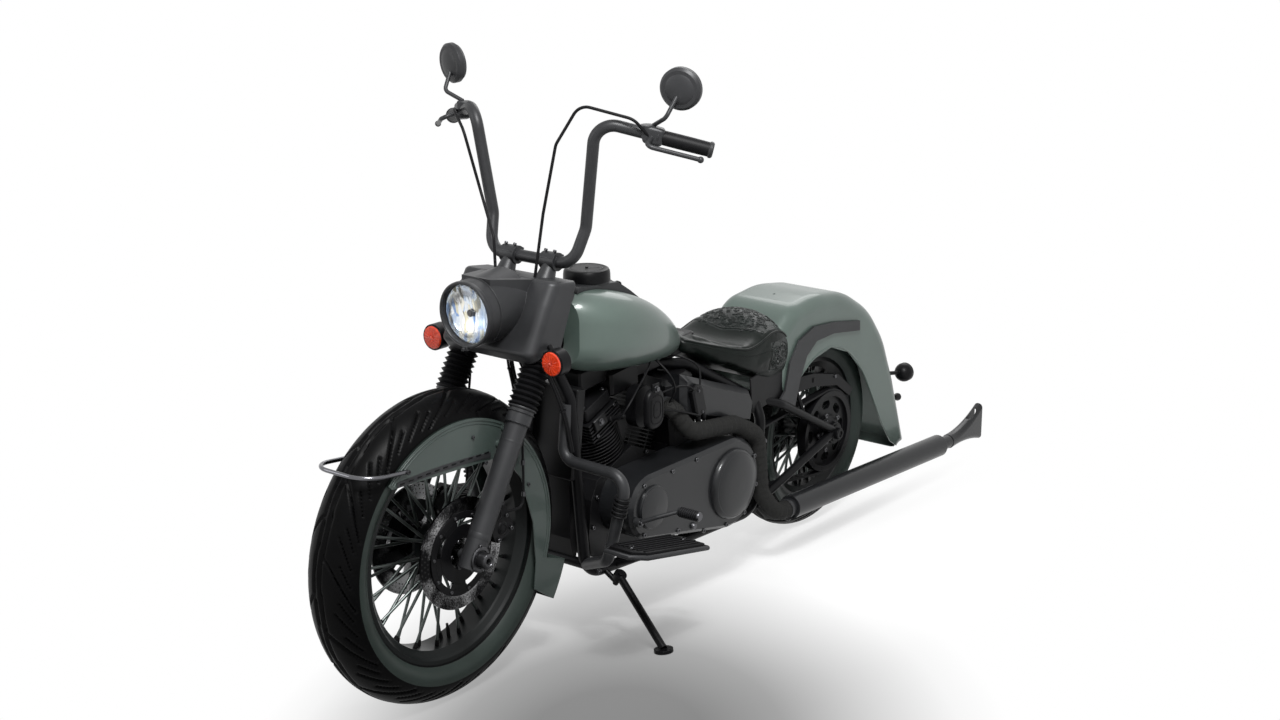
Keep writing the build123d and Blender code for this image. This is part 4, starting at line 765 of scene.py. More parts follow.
lamp_face = facing(LAMP, LAMP_OUT)
trim = Bunch()
profile = [
    (0.0772, -0.012), (0.0772, 0.001), (0.079, 0.0042), (0.0825, 0.0048), (0.0855, 0.0025), (0.0862, -0.006),
    (0.085, -0.01), (0.083, -0.011),
]
trim.put(*lathe(profile, 96, True), 0, lamp_face)
trim.put(*ring(0.0868, 0.0016, 96, 8), 0, (LAMP - LAMP_OUT * 0.04, LAMP_OUT))
trim.put(*block((0.012, 0.016, 0.01)), 0, (LAMP + vec(0.001, 0, -0.0865), LAMP_OUT))
bolts(trim, [LAMP + vec(0.006, 0, -0.088)], LAMP_OUT, 0.004, 0.008, 0)
trim.make("headlamp_rim", "steering", [mat_dark])

bowl = Bunch()
profile = [
    (0.0755, -0.0125), (0.07, -0.019), (0.06, -0.026), (0.046, -0.0315), (0.03, -0.035), (0.014, -0.0365),
    (0.0, -0.037),
]
bowl.turned(profile, 72, 0, lamp_face)
bowl.turned([(0.0, -0.022), (0.007, -0.0225), (0.0095, -0.026), (0.0095, -0.032), (0.008, -0.036)], 32, 1, lamp_face)
bowl.make("headlamp_bowl", "steering", [mat_reflector, mat_bolt])

stars = Bunch()
for side in (-1, 1):
    face = facing(vec(0.5975, side * 0.204, 0.873), (1, 0, 0))
    stars.put(*ring(0.0322, 0.0016, 40, 8), 1, face)
    stars.turned([(0, 0.0088), (0.003, 0.0086), (0.005, 0.0074)], 16, 0, face)
    for k in range(16):
        a = 2 * math.pi * k / 16
        run = vec(math.cos(a), math.sin(a), 0)
        path = [
            run * r + vec(0, 0, h) for r, h in ((0.006, 0.0078), (0.016, 0.008), (0.0265, 0.0074), (0.0295, 0.0052))
        ]
        stars.put(*tube(path, lambda t: 0.0003 + 0.0003 * math.sin(math.pi * min(1, t + 0.15)), 6), 0, face)
stars.make("signal_stars", "steering", [mat_orange, mat_black])

dial = Bunch()
top = Matrix.Translation((0.212, 0, 1.016))
profile = [
    (0.048, 0.0018), (0.0505, 0.003), (0.0545, 0.003), (0.059, 0.001), (0.0625, -0.005), (0.0635, -0.014),
    (0.064, -0.03),
]
dial.turned(profile, 72, 0, top)
dial.turned([(0, 0.0022), (0.051, 0.0022)], 48, 0, top)
for k in range(45):
    a = math.radians(-130 + k * 260 / 44)
    size = (0.0075 if k % 4 == 0 else 0.004, 0.0008, 0.0004)
    dial.put(*block(size, (0.0435, 0, 0)), 1, top @ tilted((0, 0, 0.0027), a, "Z"))
dial.put(*block((0.038, 0.0014, 0.0006), (0.016, 0, 0)), 1, top @ tilted((0, 0, 0.0034), 2.4, "Z"))
dial.turned([(0, 0.0055), (0.004, 0.0055), (0.0045, 0.002)], 20, 0, top)
for y in (-0.03, 0.0, 0.03):
    profile = [(0, 0.0), (0.009, 0.0), (0.009, 0.003), (0.0065, 0.005), (0, 0.005)]
    dial.turned(profile, 24, 0, ((0.115, y, 0.9615), (-0.53, 0, 0.85)))
profile = [(0, 0.006), (0.012, 0.006), (0.0155, 0.003), (0.016, -0.002)]
dial.turned(profile, 32, 2, ((0.062, 0, 0.922), (-0.59, 0, 0.81)))
dial.make("dash_dial", "frame", [mat_black, mat_bolt, mat_dark])

glasses = Bunch()
for side in (-1, 1):
    centre = vec(0.306, side * 0.384, 1.544)
    out = vec(-1, -0.3 * side, 0.1).normalized()
    face = facing(centre + out * 0.0131, out)
    glasses.turned([(0, 0.0), (0.0455, 0.0)], 48, 0, face)
    glasses.put(*ring(0.0468, 0.0022, 60, 8), 1, face)
    back = facing(centre - out * 0.0128, -out)
    profile = [(0, 0.006), (0.012, 0.0056), (0.024, 0.0042), (0.034, 0.002), (0.042, -0.0016), (0.046, -0.006)]
    glasses.turned(profile, 56, 1, back)
glasses.make("mirror_glass", "steering", [mat_mirror, mat_dark])

# Handlebar, forks and front brake

bars = Bunch()
BAR = vec(0.436, 0, 1.088)
for side in (-1, 1):
    spot = BAR + vec(0, side * 0.068, 0)
    foot = facing(spot - ALONG * 0.07, ALONG)
    bars.turned([(0.03, 0), (0.0295, 0.01), (0.024, 0.03), (0.0205, 0.048), (0.0198, 0.05)], 40, 0, foot)
    for dx in (-0.0165, 0.0165):
        lid = spot + AHEAD * dx + ALONG * 0.0205
        bolts(bars, [lid + ACROSS * dy for dy in (-0.015, 0.015)], ALONG, 0.0048, 0.005)
    bars.put(*block((0.05, 0.0012, 0.0012)), 1, (spot + AHEAD * 0.0242, (1, 0, 0), (0, 1, 0)))
    inner = vec(0.3301, side * 0.3291, 1.4232)
    outer = vec(0.262, side * 0.424, 1.394)
    run = (outer - inner).normalized()
    grip_path = even([inner, outer + run * 0.018], 0.004)
    bars.put(*tube(grip_path, lambda t: 0.0184 + 0.0006 * math.sin(math.pi * t), 28), 2)
    profile = [(0.0, 0.006), (0.017, 0.006), (0.0205, 0.003), (0.0212, -0.003), (0.0185, -0.006)]
    bars.turned(profile, 32, 0, (outer + run * 0.017, run))
    bars.put(*ring(0.02, 0.0025, 32, 8), 0, (inner + run * 0.002, run))
    house = inner - run * 0.026
    for k, (dx, dz) in enumerate(((-0.022, 0.006), (-0.022, -0.008), (-0.018, 0.018))):
        bars.put(
            *block((0.013, 0.009, 0.004)), 2, (house + vec(dx, 0, dz) + run * (0.01 * (k - 1)), (-1, 0, 0.2 * k))
        )
    profile = [(0, 0.002), (0.018, 0.002), (0.02, 0), (0.02, -0.03)]
    bars.turned(profile, 24, 0, (house + vec(0, 0, 0.021), (0, 0, 1)))
bars.make("bar_fittings", "steering", [mat_dark, mat_bolt, mat_rubber])

legs = Bunch()
for side in (-1, 1):
    for w, r, h in ((0.392, 0.0345, 0.01), (0.38, 0.0355, 0.004), (0.5325, 0.04, 0.008), (0.352, 0.0342, 0.003)):
        legs.put(*ring(r - 0.0005, h * 0.35, 44, 8), 0, (fork(0, side * 0.125, w), ALONG))
    profile = [(0.0292, 0), (0.03, 0.004), (0.03, 0.012), (0.0292, 0.016)]
    legs.turned(profile, 44, 0, (fork(0, side * 0.125, 0.045), ALONG))
    legs.turned([(0.0291, 0), (0.0296, 0.003), (0.0291, 0.006)], 44, 0, (fork(0, side * 0.125, 0.3), ALONG))
    hub = facing(vec(0.8175, side * 0.1785, 0.408), (0, side, 0))
    profile = [
        (0.0205, -0.022), (0.0205, -0.003), (0.0195, 0.0015), (0.0165, 0.0035), (0.013, 0.0035), (0.0115, 0.001),
        (0.0085, 0.001),
    ]
    legs.turned(profile, 40, 1, hub)
    profile = [(0.0325, -0.028), (0.0325, -0.0245), (0.03, -0.0225), (0.024, -0.0225), (0.024, -0.028)]
    legs.turned(profile, 40, 1, hub)
    bolts(
        legs, [fork(dx, side * 0.15, w) for dx, w in ((0.012, -0.026), (-0.012, -0.026), (0.016, 0.03))],
        (0, side, 0), 0.0052, 0.006, 1,
    )
    bolts(legs, [fork(-0.03, side * 0.125, 0.1)], -AHEAD, 0.006, 0.004, 1, hex_bolt)
legs.make("fork_trim", "steering", [mat_dark, mat_bolt])

brake = Bunch()
CAL = polar(156.6, 0.135, 0, FRONT)
radial = (CAL - FRONT).normalized()
across = vec(-radial.z, 0, radial.x)
for side in (-1, 1):
    face = CAL + vec(0, side * 0.107, 0)
    for k in (-1, 1):
        bore = face + across * 0.023 * k
        brake.turned([(0, 0.003), (0.014, 0.003), (0.0175, 0.001), (0.019, -0.002)], 32, 0, (bore, (0, side, 0)))
        brake.put(*ring(0.011, 0.001, 28, 6), 0, (bore + vec(0, side * 0.003, 0), (0, side, 0)))
        bolts(brake, [face + across * 0.042 * k + radial * r for r in (-0.026, 0.026)], (0, side, 0), 0.0055, 0.006)
    bolts(brake, [face + radial * 0.026], (0, side, 0), 0.005, 0.005)
    brake.put(*block((0.022, 0.018, 0.012)), 0, (CAL + radial * 0.04 + vec(0, side * 0.088, 0), radial))
hose = smooth_path([
    (0.6, 0.094, 0.872), (0.572, 0.098, 0.8), (0.585, 0.099, 0.7), (0.592, 0.098, 0.638), (0.591, 0.098, 0.543),
    (0.6, 0.1, 0.48), (0.64, 0.098, 0.474), (0.657, 0.09, 0.478),
])
for side in (-1, 1):
    brake.put(*tube([vec(p.x, p.y * side, p.z) for p in hose], 0.0034, 10), 2)
for at in (28, 36):
    run = (hose[at + 1] - hose[at]).normalized()
    profile = [(0.0036, -0.006), (0.0055, -0.006), (0.0055, 0.006), (0.0036, 0.006)]
    brake.put(*lathe(profile, 14, True), 1, (hose[at], run))
brake.make("brake_fittings", "steering", [mat_black, mat_bolt, mat_rubber])

# Front fender trim

fender = Bunch()
for side in (-1, 1):
    for radius, size in ((0.3395, 0.0018), (0.331, 0.0014)):
        line = [polar(a, radius, side * 0.0872, FRONT) for a in range(46, 200, 3)]
        fender.put(*tube(line, size, 8), 0)
    strip = [
        (1.035, 0.6475), (0.98, 0.649), (0.924, 0.65), (0.87, 0.649), (0.81, 0.647), (0.76, 0.644), (0.703, 0.638)
    ]
    section = ((0.0868, -0.0075), (0.0892, -0.0065), (0.0892, 0.0065), (0.0868, 0.0075))
    fender.put(*grid([[vec(x, side * y, z + h) for y, h in section] for x, z in strip]), 1)
    for k in range(11):
        x = 1.018 - k * 0.03
        z = 0.648 + 0.002 * math.sin((x - 0.7) * 9)
        fender.put(
            *block((0.017, 0.0042, 0.0012), bevel=0.3), 2, ((x, side * 0.0894, z - 0.0004), (0, side, 0), (1, 0, 0))
        )
    bolts(
        fender, [vec(x, side * 0.087, z) for x, z in ((0.72, 0.622), (0.765, 0.7), (0.56, 0.52))], (0, side, 0),
        0.005, 0.004, 1,
    )
    bolts(fender, [vec(1.006, side * 0.0975, 0.676)], (0, side, 0), 0.0065, 0.005, 1)
fender.make("fender_trim", "steering", [mat_valance, mat_dark, mat_black])

# Engine and covers

CRANK = vec(0.125, 0, 0.35)
motor = Bunch()
for sign in (-1, 1):
    bank = math.radians(22.5 * sign)
    along = vec(math.sin(bank), 0, math.cos(bank))
    stand = facing(CRANK, along, (1, 0, 0))
    bolts(
        motor, [stand @ vec(x, y, 0.348) for x in (-0.044, 0.044) for y in (-0.056, 0, 0.056)], along, 0.0065, 0.006
    )
    rail = [stand @ vec(0.0565 * x, 0.06 * y, 0.3345) for x, y in ((-1, -1), (1, -1), (1, 1), (-1, 1), (-1, -1))]
    motor.put(*tube(rail, 0.0022, 6), 0)
    plug = stand @ vec(-0.012 * sign, 0.079, 0.276)
    profile = [
        (0, 0), (0.0085, 0), (0.0085, 0.01), (0.006, 0.012), (0.006, 0.026), (0.008, 0.028), (0.008, 0.048),
        (0.005, 0.052), (0, 0.052),
    ]
    motor.turned(profile, 18, 2, (plug, vec(-0.25 * sign, 1, 0.35)))
    bolts(
        motor, [stand @ vec(x, 0.079, z) for x in (-0.045, 0.045) for z in (0.2625, 0.302)], (0, 1, 0), 0.005, 0.004
    )
    for x, y in ((-0.04, -0.052), (-0.04, 0.052), (0.04, -0.052), (0.04, 0.052)):
        motor.put(*tube([stand @ vec(x, y, z) for z in (0.15, 0.25)], 0.0048, 10), 0)
motor.put(*block((0.052, 0.01, 0.034), bevel=0.2), 0, ((0.262, 0.083, 0.615), (0.3827, 0, 0.9239), (1, 0, 0)))
bolts(motor, [vec(0.262, 0.088, 0.615)], (0, 1, 0), 0.008, 0.007, 1, hex_bolt)
for path in (
    [(0.238, 0.128, 0.622), (0.225, 0.15, 0.66), (0.165, 0.14, 0.7), (0.08, 0.11, 0.735), (0.04, 0.08, 0.752)],
    [(0.012, 0.128, 0.618), (0.018, 0.152, 0.66), (0.03, 0.14, 0.705), (0.04, 0.09, 0.748)],
    [(-0.082, 0.155, 0.622), (-0.04, 0.158, 0.655), (0.01, 0.15, 0.664), (0.058, 0.132, 0.655), (0.088, 0.128, 0.65)],
    [(-0.095, 0.155, 0.556), (-0.05, 0.165, 0.575), (0.02, 0.16, 0.6), (0.08, 0.135, 0.612)],
    [(-0.098, 0.152, 0.64), (-0.12, 0.128, 0.69), (-0.11, 0.07, 0.712), (-0.08, 0.04, 0.716)],
):
    motor.put(*tube(smooth_path(path), 0.0028, 8), 2)
relay = facing((-0.088, 0.15, 0.602), (0, 1, 0), (0.28, 0, 0.96))
motor.put(*block((0.086, 0.046, 0.024), bevel=0.2), 0, relay)
for dy in (-0.012, 0.012):
    profile = [(0, 0), (0.0085, 0), (0.0085, 0.02), (0.007, 0.023), (0.0045, 0.03), (0, 0.03)]
    motor.turned(profile, 18, 2, (relay @ vec(-0.043, dy, 0), relay.to_3x3() @ vec(-1, 0, 0)))
bolts(motor, [relay @ vec(0.034, 0, 0.012), relay @ vec(-0.034, 0, 0.012)], (0, 1, 0), 0.004, 0.003)
case_line = [(0.312, 0.3), (0.3, 0.4), (0.275, 0.45), (0.125, 0.512), (-0.025, 0.45)]
for (x0, z0), (x1, z1) in zip(case_line, case_line[1:]):
    bolts(motor, [vec((x0 * 2 + x1) / 3 - 0.012, 0.0848, (z0 * 2 + z1) / 3 - 0.012)], (0, 1, 0), 0.006, 0.006)
motor.put(*ring(0.07, 0.003, 48, 8), 0, ((0.125, -0.128, 0.35), (0, -1, 0)))
bolts(motor, [polar(a, 0.08, -0.128, CRANK) for a in range(0, 360, 60)], (0, -1, 0), 0.006, 0.006)
AIR = vec(0.104, -0.188, 0.56)
motor.turned([(0, 0.006), (0.04, 0.006), (0.058, 0.003), (0.064, -0.001)], 56, 0, (AIR, (0, -1, 0)))
motor.put(*ring(0.08, 0.003, 56, 8), 1, (AIR, (0, -1, 0)))
for k in range(24):
    a = math.radians(15 * k)
    motor.put(
        *block((0.007, 0.004, 0.046), (0.0925, 0, 0.034)), 2, facing(AIR, (0, 1, 0)) @ Matrix.Rotation(a, 4, "Z")
    )
bolts(motor, [AIR + vec(0, -0.006, 0)], (0, -1, 0), 0.01, 0.006)
for size, at, tilt in (
    ((0.12, 0.15, 0.07), (0.14, 0, 0.705), 0.1),
    ((0.12, 0.2, 0.21), (-0.092, 0, 0.562), 0.12),
    ((0.09, 0.11, 0.09), (0.125, 0, 0.56), 0.0),
    ((0.11, 0.12, 0.06), (0.02, 0, 0.722), 0.05),
    ((0.36, 0.11, 0.06), (0.13, 0, 0.742), 0.08),
    ((0.2, 0.07, 0.05), (-0.13, 0, 0.722), 0.1),
    ((0.034, 0.17, 0.25), (0.352, 0, 0.6), -0.12),
):
    motor.put(*block(size, bevel=0.1), 0, tilted(at, tilt, "Y"))
for side in (-1, 1):
    motor.put(*block((0.18, 0.006, 0.11), bevel=0.3), 0, tilted((-0.47, side * 0.128, 0.552), 0.12, "Y"))
motor.make("engine_fittings", "frame", [mat_engine, mat_bolt, mat_rubber])

horn = Bunch()
HORN = vec(0.125, 0.164, 0.632)
CORNER = 0.0325
oval = []
for k in range(64):
    c, s = math.cos(2 * math.pi * k / 64), math.sin(2 * math.pi * k / 64)
    oval.append(vec(math.copysign(0.037 - CORNER, c) + CORNER * c, 0, math.copysign(0.058 - CORNER, s) + CORNER * s))


def horn_line(scale, y):
    """The horn cover's outline at a scale and a height."""
    return [HORN + p * scale + vec(0, y, 0) for p in oval]


steps = ((1.0, -0.01), (0.985, 0.0), (0.93, 0.0045), (0.8, 0.0075), (0.45, 0.009), (0.02, 0.0095))
horn.put(*grid([horn_line(scale, y) for scale, y in steps]), 0)
for scale, y in ((0.7, 0.0082), (0.4, 0.0091)):
    line = horn_line(scale, y)
    horn.put(*tube(line + line[:1], 0.0012, 6), 0)
horn.put(*block((0.03, 0.006, 0.026), bevel=0.2), 0, (HORN + vec(0, 0.002, 0.06), (0, 0, 1)))
bolts(horn, [HORN + vec(0, 0.0055, 0.058)], (0, 1, 0), 0.0075, 0.008, 1, hex_bolt)
horn.make("horn_face", "frame", [mat_black, mat_bolt])

cover = Bunch()
REAR_C, FRONT_C = vec(-0.198, 0, 0.336), vec(0.176, 0, 0.372)
places = [polar(a, 0.12, 0.1945, REAR_C) for a in (152, 196, 240, 284)]
places += [polar(a, 0.08, 0.195, FRONT_C) for a in (-62, 62)]
places += [vec(x, 0.1945, z) for x, z in ((-0.024, 0.4545), (0.086, 0.45), (-0.06, 0.233), (0.06, 0.269))]
bolts(cover, places, (0, 1, 0), 0.0066, 0.006)
dome = [
    (0.1045, 0.1945), (0.103, 0.204), (0.0975, 0.211), (0.086, 0.216), (0.066, 0.2195), (0.04, 0.2212), (0.0, 0.2218)
]
cover.turned([(r, y - 0.196) for r, y in dome], 72, 0, (REAR_C + vec(0, 0.196, 0), (0, 1, 0)))
boss = [(0.062, 0.1945), (0.061, 0.201), (0.056, 0.206), (0.04, 0.2085), (0.0, 0.2095)]
cover.turned([(r, y - 0.196) for r, y in boss], 60, 0, (FRONT_C + vec(0, 0.196, 0), (0, 1, 0)))
cover.turned([(0, 0.008), (0.008, 0.008), (0.01, 0.005), (0.0105, 0)], 24, 1, (vec(-0.01, 0.196, 0.262), (0, 1, 0)))
cover.make("primary_trim", "frame", [mat_cover, mat_bolt])

# Pipe wrap and clamps

wrapped = Bunch()
STEP = 0.0035
BAND = 0.0225
PIPES = (
    (
        [
            (0, 0.0793, 0.598), (0, 0.13, 0.598), (-0.04, 0.16, 0.522), (-0.24, 0.168, 0.499), (-0.352, 0.172, 0.44),
            (-0.362, 0.18, 0.26), (-0.4, 0.208, 0.1891), (-0.48, 0.208, 0.186),
        ],
        0.024, 0.06,
    ),
    (
        [
            (0.279, -0.0793, 0.591), (0.279, -0.18, 0.591), (0.296, -0.19, 0.46), (0.296, -0.192, 0.31),
            (0.276, -0.208, 0.178), (-0.4, -0.208, 0.1891), (-0.48, -0.208, 0.186),
        ],
        0.022, 0.07,
    ),
)
for points, radius, corner in PIPES:
    pts = [Vector(p) for p in points]
    line = [pts[0]]
    for a, b, c in zip(pts, pts[1:], pts[2:]):
        u, v = (a - b).normalized(), (c - b).normalized()
        half = u.angle(v) / 2
        bend = min(corner, 0.45 * min((a - b).length, (c - b).length) * math.tan(half))
        line += bent_path([a, b, c], bend)[1:-1]
    line.append(pts[-1])
    line = even(line, STEP)[6:-4]
    n = len(line)

    def lapped(t):
        """Radius of the wrap, which rises over each lap of the band."""
        return radius + 0.0009 + 0.0017 * ((t * (n - 1) * STEP / BAND) % 1.0)

    wrapped.put(*tube(line, lapped, 26), 0)
    clamp = [(radius + r, h) for r, h in ((0.001, -0.005), (0.0042, -0.005), (0.0042, 0.005), (0.001, 0.005))]
    for at in (2, n - 3):
        wrapped.put(*lathe(clamp, 32, True), 1, (line[at], line[at + 1] - line[at - 1]))
wrapped.make("header_wrap", "frame", [mat_wrap, mat_dark])

pipes = Bunch()
for side in (-1, 1):
    clamp = facing((-0.47, side * 0.208, 0.1866), (-1, 0, -0.02))
    pipes.put(*lathe([(0.0235, -0.012), (0.0275, -0.012), (0.0275, 0.012), (0.0235, 0.012)], 36, True), 0, clamp)
    pipes.put(*block((0.01, 0.016, 0.02)), 0, ((-0.47, side * 0.208, 0.157), (0, 0, 1)))
    bolts(pipes, [vec(-0.47, side * 0.217, 0.157)], (0, side, 0), 0.005, 0.004)
pipes.make("muffler_trim", "frame", [mat_cover, mat_black])

# Guard, boards, pedals and stand

HINGE = 0.206
lower = Bunch()
for side in (-1, 1):
    a, b = vec(0.4, side * 0.288, 0.536), vec(0.404, side * 0.224, 0.293)
    for k in range(5):
        lower.put(*ring(0.0185, 0.0034, 32, 10), 2, (a.lerp(b, 0.24 + 0.05 * k), b - a))
    turn = tilted((HINGE, 0, 0.306), math.radians(-11.0), "Y") @ Matrix.Translation((-HINGE, 0, 0))
    outline = [(HINGE, 0.296), (HINGE, 0.404), (0.47, 0.404), (0.512, 0.376), (0.512, 0.3), (0.47, 0.284)]
    cx, cy = 0.355, 0.345
    rows = []
    for scale, h in ((0.93, 0.0115), (0.93, 0.018), (0.91, 0.0195), (0.02, 0.0195)):
        rows.append([turn @ vec(cx + (x - cx) * scale, side * (cy + (y - cy) * scale), h) for x, y in outline])
    lower.put(*grid(rows), 2)
    for k in range(7):
        y = side * (0.3 + 0.015 * k)
        lower.put(*block((0.255 if 0 < k < 6 else 0.235, 0.0055, 0.004), (0.352, y, 0.021), 0.3), 2, turn)
    lower.put(*tube([turn @ vec(x, side * y, 0.006) for x, y in outline + outline[:1]], 0.0068, 10), 0)
    bolts(lower, [turn @ vec(x, side * 0.345, 0.0195) for x in (0.24, 0.465)], (0.19, 0, 0.98), 0.007, 0.004)
for k in range(9):
    lower.put(*ring(0.0132, 0.0019, 28, 8), 2, ((0.186, 0.303 + 0.0068 * k, 0.384), (0, 1, 0)))
profile = [(0, 0.004), (0.01, 0.004), (0.0125, 0.001), (0.013, -0.002)]
lower.turned(profile, 28, 1, ((0.186, 0.362, 0.384), (0, 1, 0)))
bolts(lower, [vec(0.25, 0.2145, 0.35)], (0, 1, 0), 0.007, 0.005, 1, hex_bolt)
for k in range(4):
    lower.put(*block((0.056, 0.005, 0.003), (0.29, -0.342 + 0.0105 * k, 0.3995), 0.3), 2)
lower.make("floor_controls", "frame", [mat_dark, mat_bolt, mat_rubber])

# Rear wheel trim

tail = Bunch()
for side in (-1, 1):
    hub = facing(vec(-0.8175, side * 0.147, 0.32), (0, side, 0))
    profile = [
        (0.026, 0), (0.026, 0.003), (0.02, 0.003), (0.0185, 0.0035), (0.0185, 0.016), (0.016, 0.0185), (0.01, 0.0185),
        (0.01, 0.015), (0, 0.015),
    ]
    tail.turned(profile, 36, 0, hub)
    lens = vec(-1.293, side * 0.104, 0.4)
    tail.put(*ring(0.0285, 0.002, 40, 8), 0, (lens + vec(-0.011, 0, 0), (-1, 0, 0)))
    rim_line = [
        (-0.6, 0.52), (-0.7, 0.58), (-0.8, 0.598), (-0.9, 0.56), (-0.985, 0.48), (-1.05, 0.38), (-1.11, 0.28),
        (-1.17, 0.2),
    ]
    tail.put(*tube(smooth_path([(x, side * 0.1335, z + 0.002) for x, z in rim_line], 6), 0.0028, 8), 2)
bolts(tail, [polar(a, 0.058, 0.1195, REAR) for a in range(0, 360, 72)], (0, 1, 0), 0.0075, 0.006)
tail.put(*block((0.014, 0.01, 0.004)), 0, ((-0.74, 0.1125, 0.503), (0, 1, 0)))
bolts(tail, [vec(-0.64, 0.112, 0.515), vec(-0.86, 0.112, 0.488)], (0, 1, 0), 0.006, 0.004)
knob = facing((-1.262, 0.1, 0.322), (-1, 0, -0.1))
tail.turned([(0, 0.01), (0.008, 0.01), (0.012, 0.006), (0.013, 0), (0.008, -0.02)], 24, 0, knob)
tail.make("rear_trim", "frame", [mat_black, mat_bolt, mat_green])

# Wiring bundles and frame bolts

frame_bits = Bunch()
for side in (-1, 1):
    bolts(frame_bits, [vec(-0.414, side * 0.157, z) for z in (0.24, 0.4)], (0, side, 0), 0.007, 0.005, 1, hex_bolt)
    for x, z in ((0.3, 0.2), (-0.02, 0.18)):
        bolts(frame_bits, [vec(x, side * 0.108, z)], (0, side, 0), 0.008, 0.006, 1, hex_bolt)
    strand = smooth_path([
        (0.47, side * 0.045, 0.86), (0.452, side * 0.06, 0.8), (0.42, side * 0.072, 0.72), (0.395, side * 0.08, 0.64),
        (0.38, side * 0.085, 0.56),
    ])
    frame_bits.put(*tube(strand, 0.006, 10), 0)
    frame_bits.put(*tube([p + vec(0.01, side * 0.004, 0.002) for p in strand], 0.0036, 8), 0)
    for at in (10, 20):
        frame_bits.put(
            *ring(0.0092, 0.0014, 20, 6), 0, (strand[at] + vec(0.004, side * 0.002, 0), strand[at + 1] - strand[at])
        )
frame_bits.make("loom_and_bolts", "frame", [mat_rubber, mat_bolt])

# Seat: a stretched leather saddle with a tooled rear

# x, half width and the heights of rim, middle and bottom of each section
SEAT = [
    (-0.15, 0.036, 0.744, 0.752, 0.722), (-0.158, 0.052, 0.748, 0.762, 0.716), (-0.175, 0.064, 0.746, 0.762, 0.708),
    (-0.205, 0.084, 0.736, 0.748, 0.696), (-0.255, 0.114, 0.72, 0.722, 0.668), (-0.305, 0.136, 0.704, 0.7, 0.644),
    (-0.35, 0.147, 0.694, 0.69, 0.622), (-0.395, 0.151, 0.7, 0.702, 0.6), (-0.435, 0.151, 0.711, 0.73, 0.582),
    (-0.47, 0.148, 0.718, 0.75, 0.57), (-0.505, 0.145, 0.716, 0.756, 0.565), (-0.535, 0.141, 0.704, 0.748, 0.562),
    (-0.56, 0.136, 0.684, 0.728, 0.562), (-0.58, 0.128, 0.66, 0.7, 0.57), (-0.592, 0.116, 0.64, 0.668, 0.59),
]


def seat_row(x, half, rim, top, low):
    """Closed cross section of the saddle."""
    points = []
    for k in range(13):
        t = -1 + 2 * k / 12
        points.append(vec(x, half * 0.93 * t, top + (rim - top) * abs(t) ** 2.2))
    depth = rim - low
    right = [
        (0.985, rim - depth * 0.06), (1.0, rim - depth * 0.22), (0.995, rim - depth * 0.5),
        (0.965, rim - depth * 0.8), (0.9, low + depth * 0.03),
    ]
    points += [vec(x, half * s, z) for s, z in right]
    points += [vec(x, half * s, low) for s in (0.6, 0.2, -0.2, -0.6)]
    points += [vec(x, -half * s, z) for s, z in reversed(right)]
    return points


rows = []
for k in range(len(SEAT) - 1):
    for j in range(4):
        rows.append(seat_row(*(curve(*around, j / 4) for around in zip(*four(SEAT, k)))))
rows.append(seat_row(*SEAT[-1]))
verts, faces = capped(rows)
shell = bpy.data.meshes.new("saddle")
shell.from_pydata([tuple(v) for v in verts], [], faces)
saddle = link("saddle", shell)


def applied(obj):
    """The object's mesh with its modifiers applied, and the modifiers gone."""
    graph = bpy.context.evaluated_depsgraph_get()
    mesh = bpy.data.meshes.new_from_object(obj.evaluated_get(graph))
    obj.modifiers.clear()
    obj.data = mesh


def shaped(obj, kind, **settings):
    """Apply one modifier to the object."""
    mod = obj.modifiers.new(kind.lower(), kind)
    for key, value in settings.items():
        setattr(mod, key, value)
    applied(obj)


shaped(saddle, "REMESH", mode="VOXEL", voxel_size=0.006)
shaped(saddle, "SMOOTH", factor=0.5, iterations=3)
before = [v.co.copy() for v in saddle.data.vertices]
cloth = saddle.modifiers.new("cloth", "CLOTH")
cloth.settings.use_pressure = True
cloth.settings.uniform_pressure_force = 4.0
cloth.settings.effector_weights.gravity = 0.0
cloth.settings.quality = 5
for step in range(1, 21):
    bpy.context.scene.frame_set(step)
applied(saddle)
for v, start in zip(saddle.data.vertices, before):
    move = v.co - start
    cap = 0.007 if start.z > 0.6 else 0.003
    if move.length > cap:
        v.co = start + move * (cap / move.length)
bpy.context.scene.frame_set(1)
shaped(saddle, "SUBSURF", levels=1, render_levels=1)
mesh = saddle.data
skin_tree = BVHTree.FromPolygons([v.co.copy() for v in mesh.vertices], [tuple(p.vertices) for p in mesh.polygons])


def tooled_at(p):
    """Whether a point lies in the tooled part of the leather."""
    top = -0.565 < p.x < -0.405 - 0.35 * abs(p.y) ** 1.2 and p.z > 0.69 and abs(p.y) < 0.128
    patch = -0.56 < p.x < -0.455 and 0.6 < p.z < 0.688 and abs(p.y) > 0.1
    return top or patch


mesh.materials.clear()
mesh.materials.append(mat_leather)
mesh.materials.append(mat_tooled)
for face in mesh.polygons:
    face.use_smooth = True
    face.material_index = 1 if tooled_at(face.center) else 0
mesh.transform(UP)
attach(saddle, "frame")
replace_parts(saddle, "seat")

# Raised scrolls, leaves and piping on the leather


def laid(points, from_side=0):
    """Points dropped on the saddle from above, or from a side."""
    out = []
    for p in points:
        if from_side:
            hit = skin_tree.ray_cast(vec(p[0], from_side * 0.4, p[1]), vec(0, -from_side, 0))
        else:
            hit = skin_tree.ray_cast(vec(p[0], p[1], 1.0), vec(0, 0, -1))
        if hit[0] is None:
            return None
        out.append(hit[0] + hit[1] * 0.0004)
    return out


def scroll(cx, cy, size, turn, hand, laps=1.5):
    """Spiral in the plane, starting at its outer end."""
    points = []
    for k in range(34):
        t = k / 33
        r = size * (1 - t) ** 1.15 + 0.0016
        a = turn + hand * 2 * math.pi * laps * t
        points.append((cx + r * math.cos(a), cy + r * math.sin(a)))
    return points


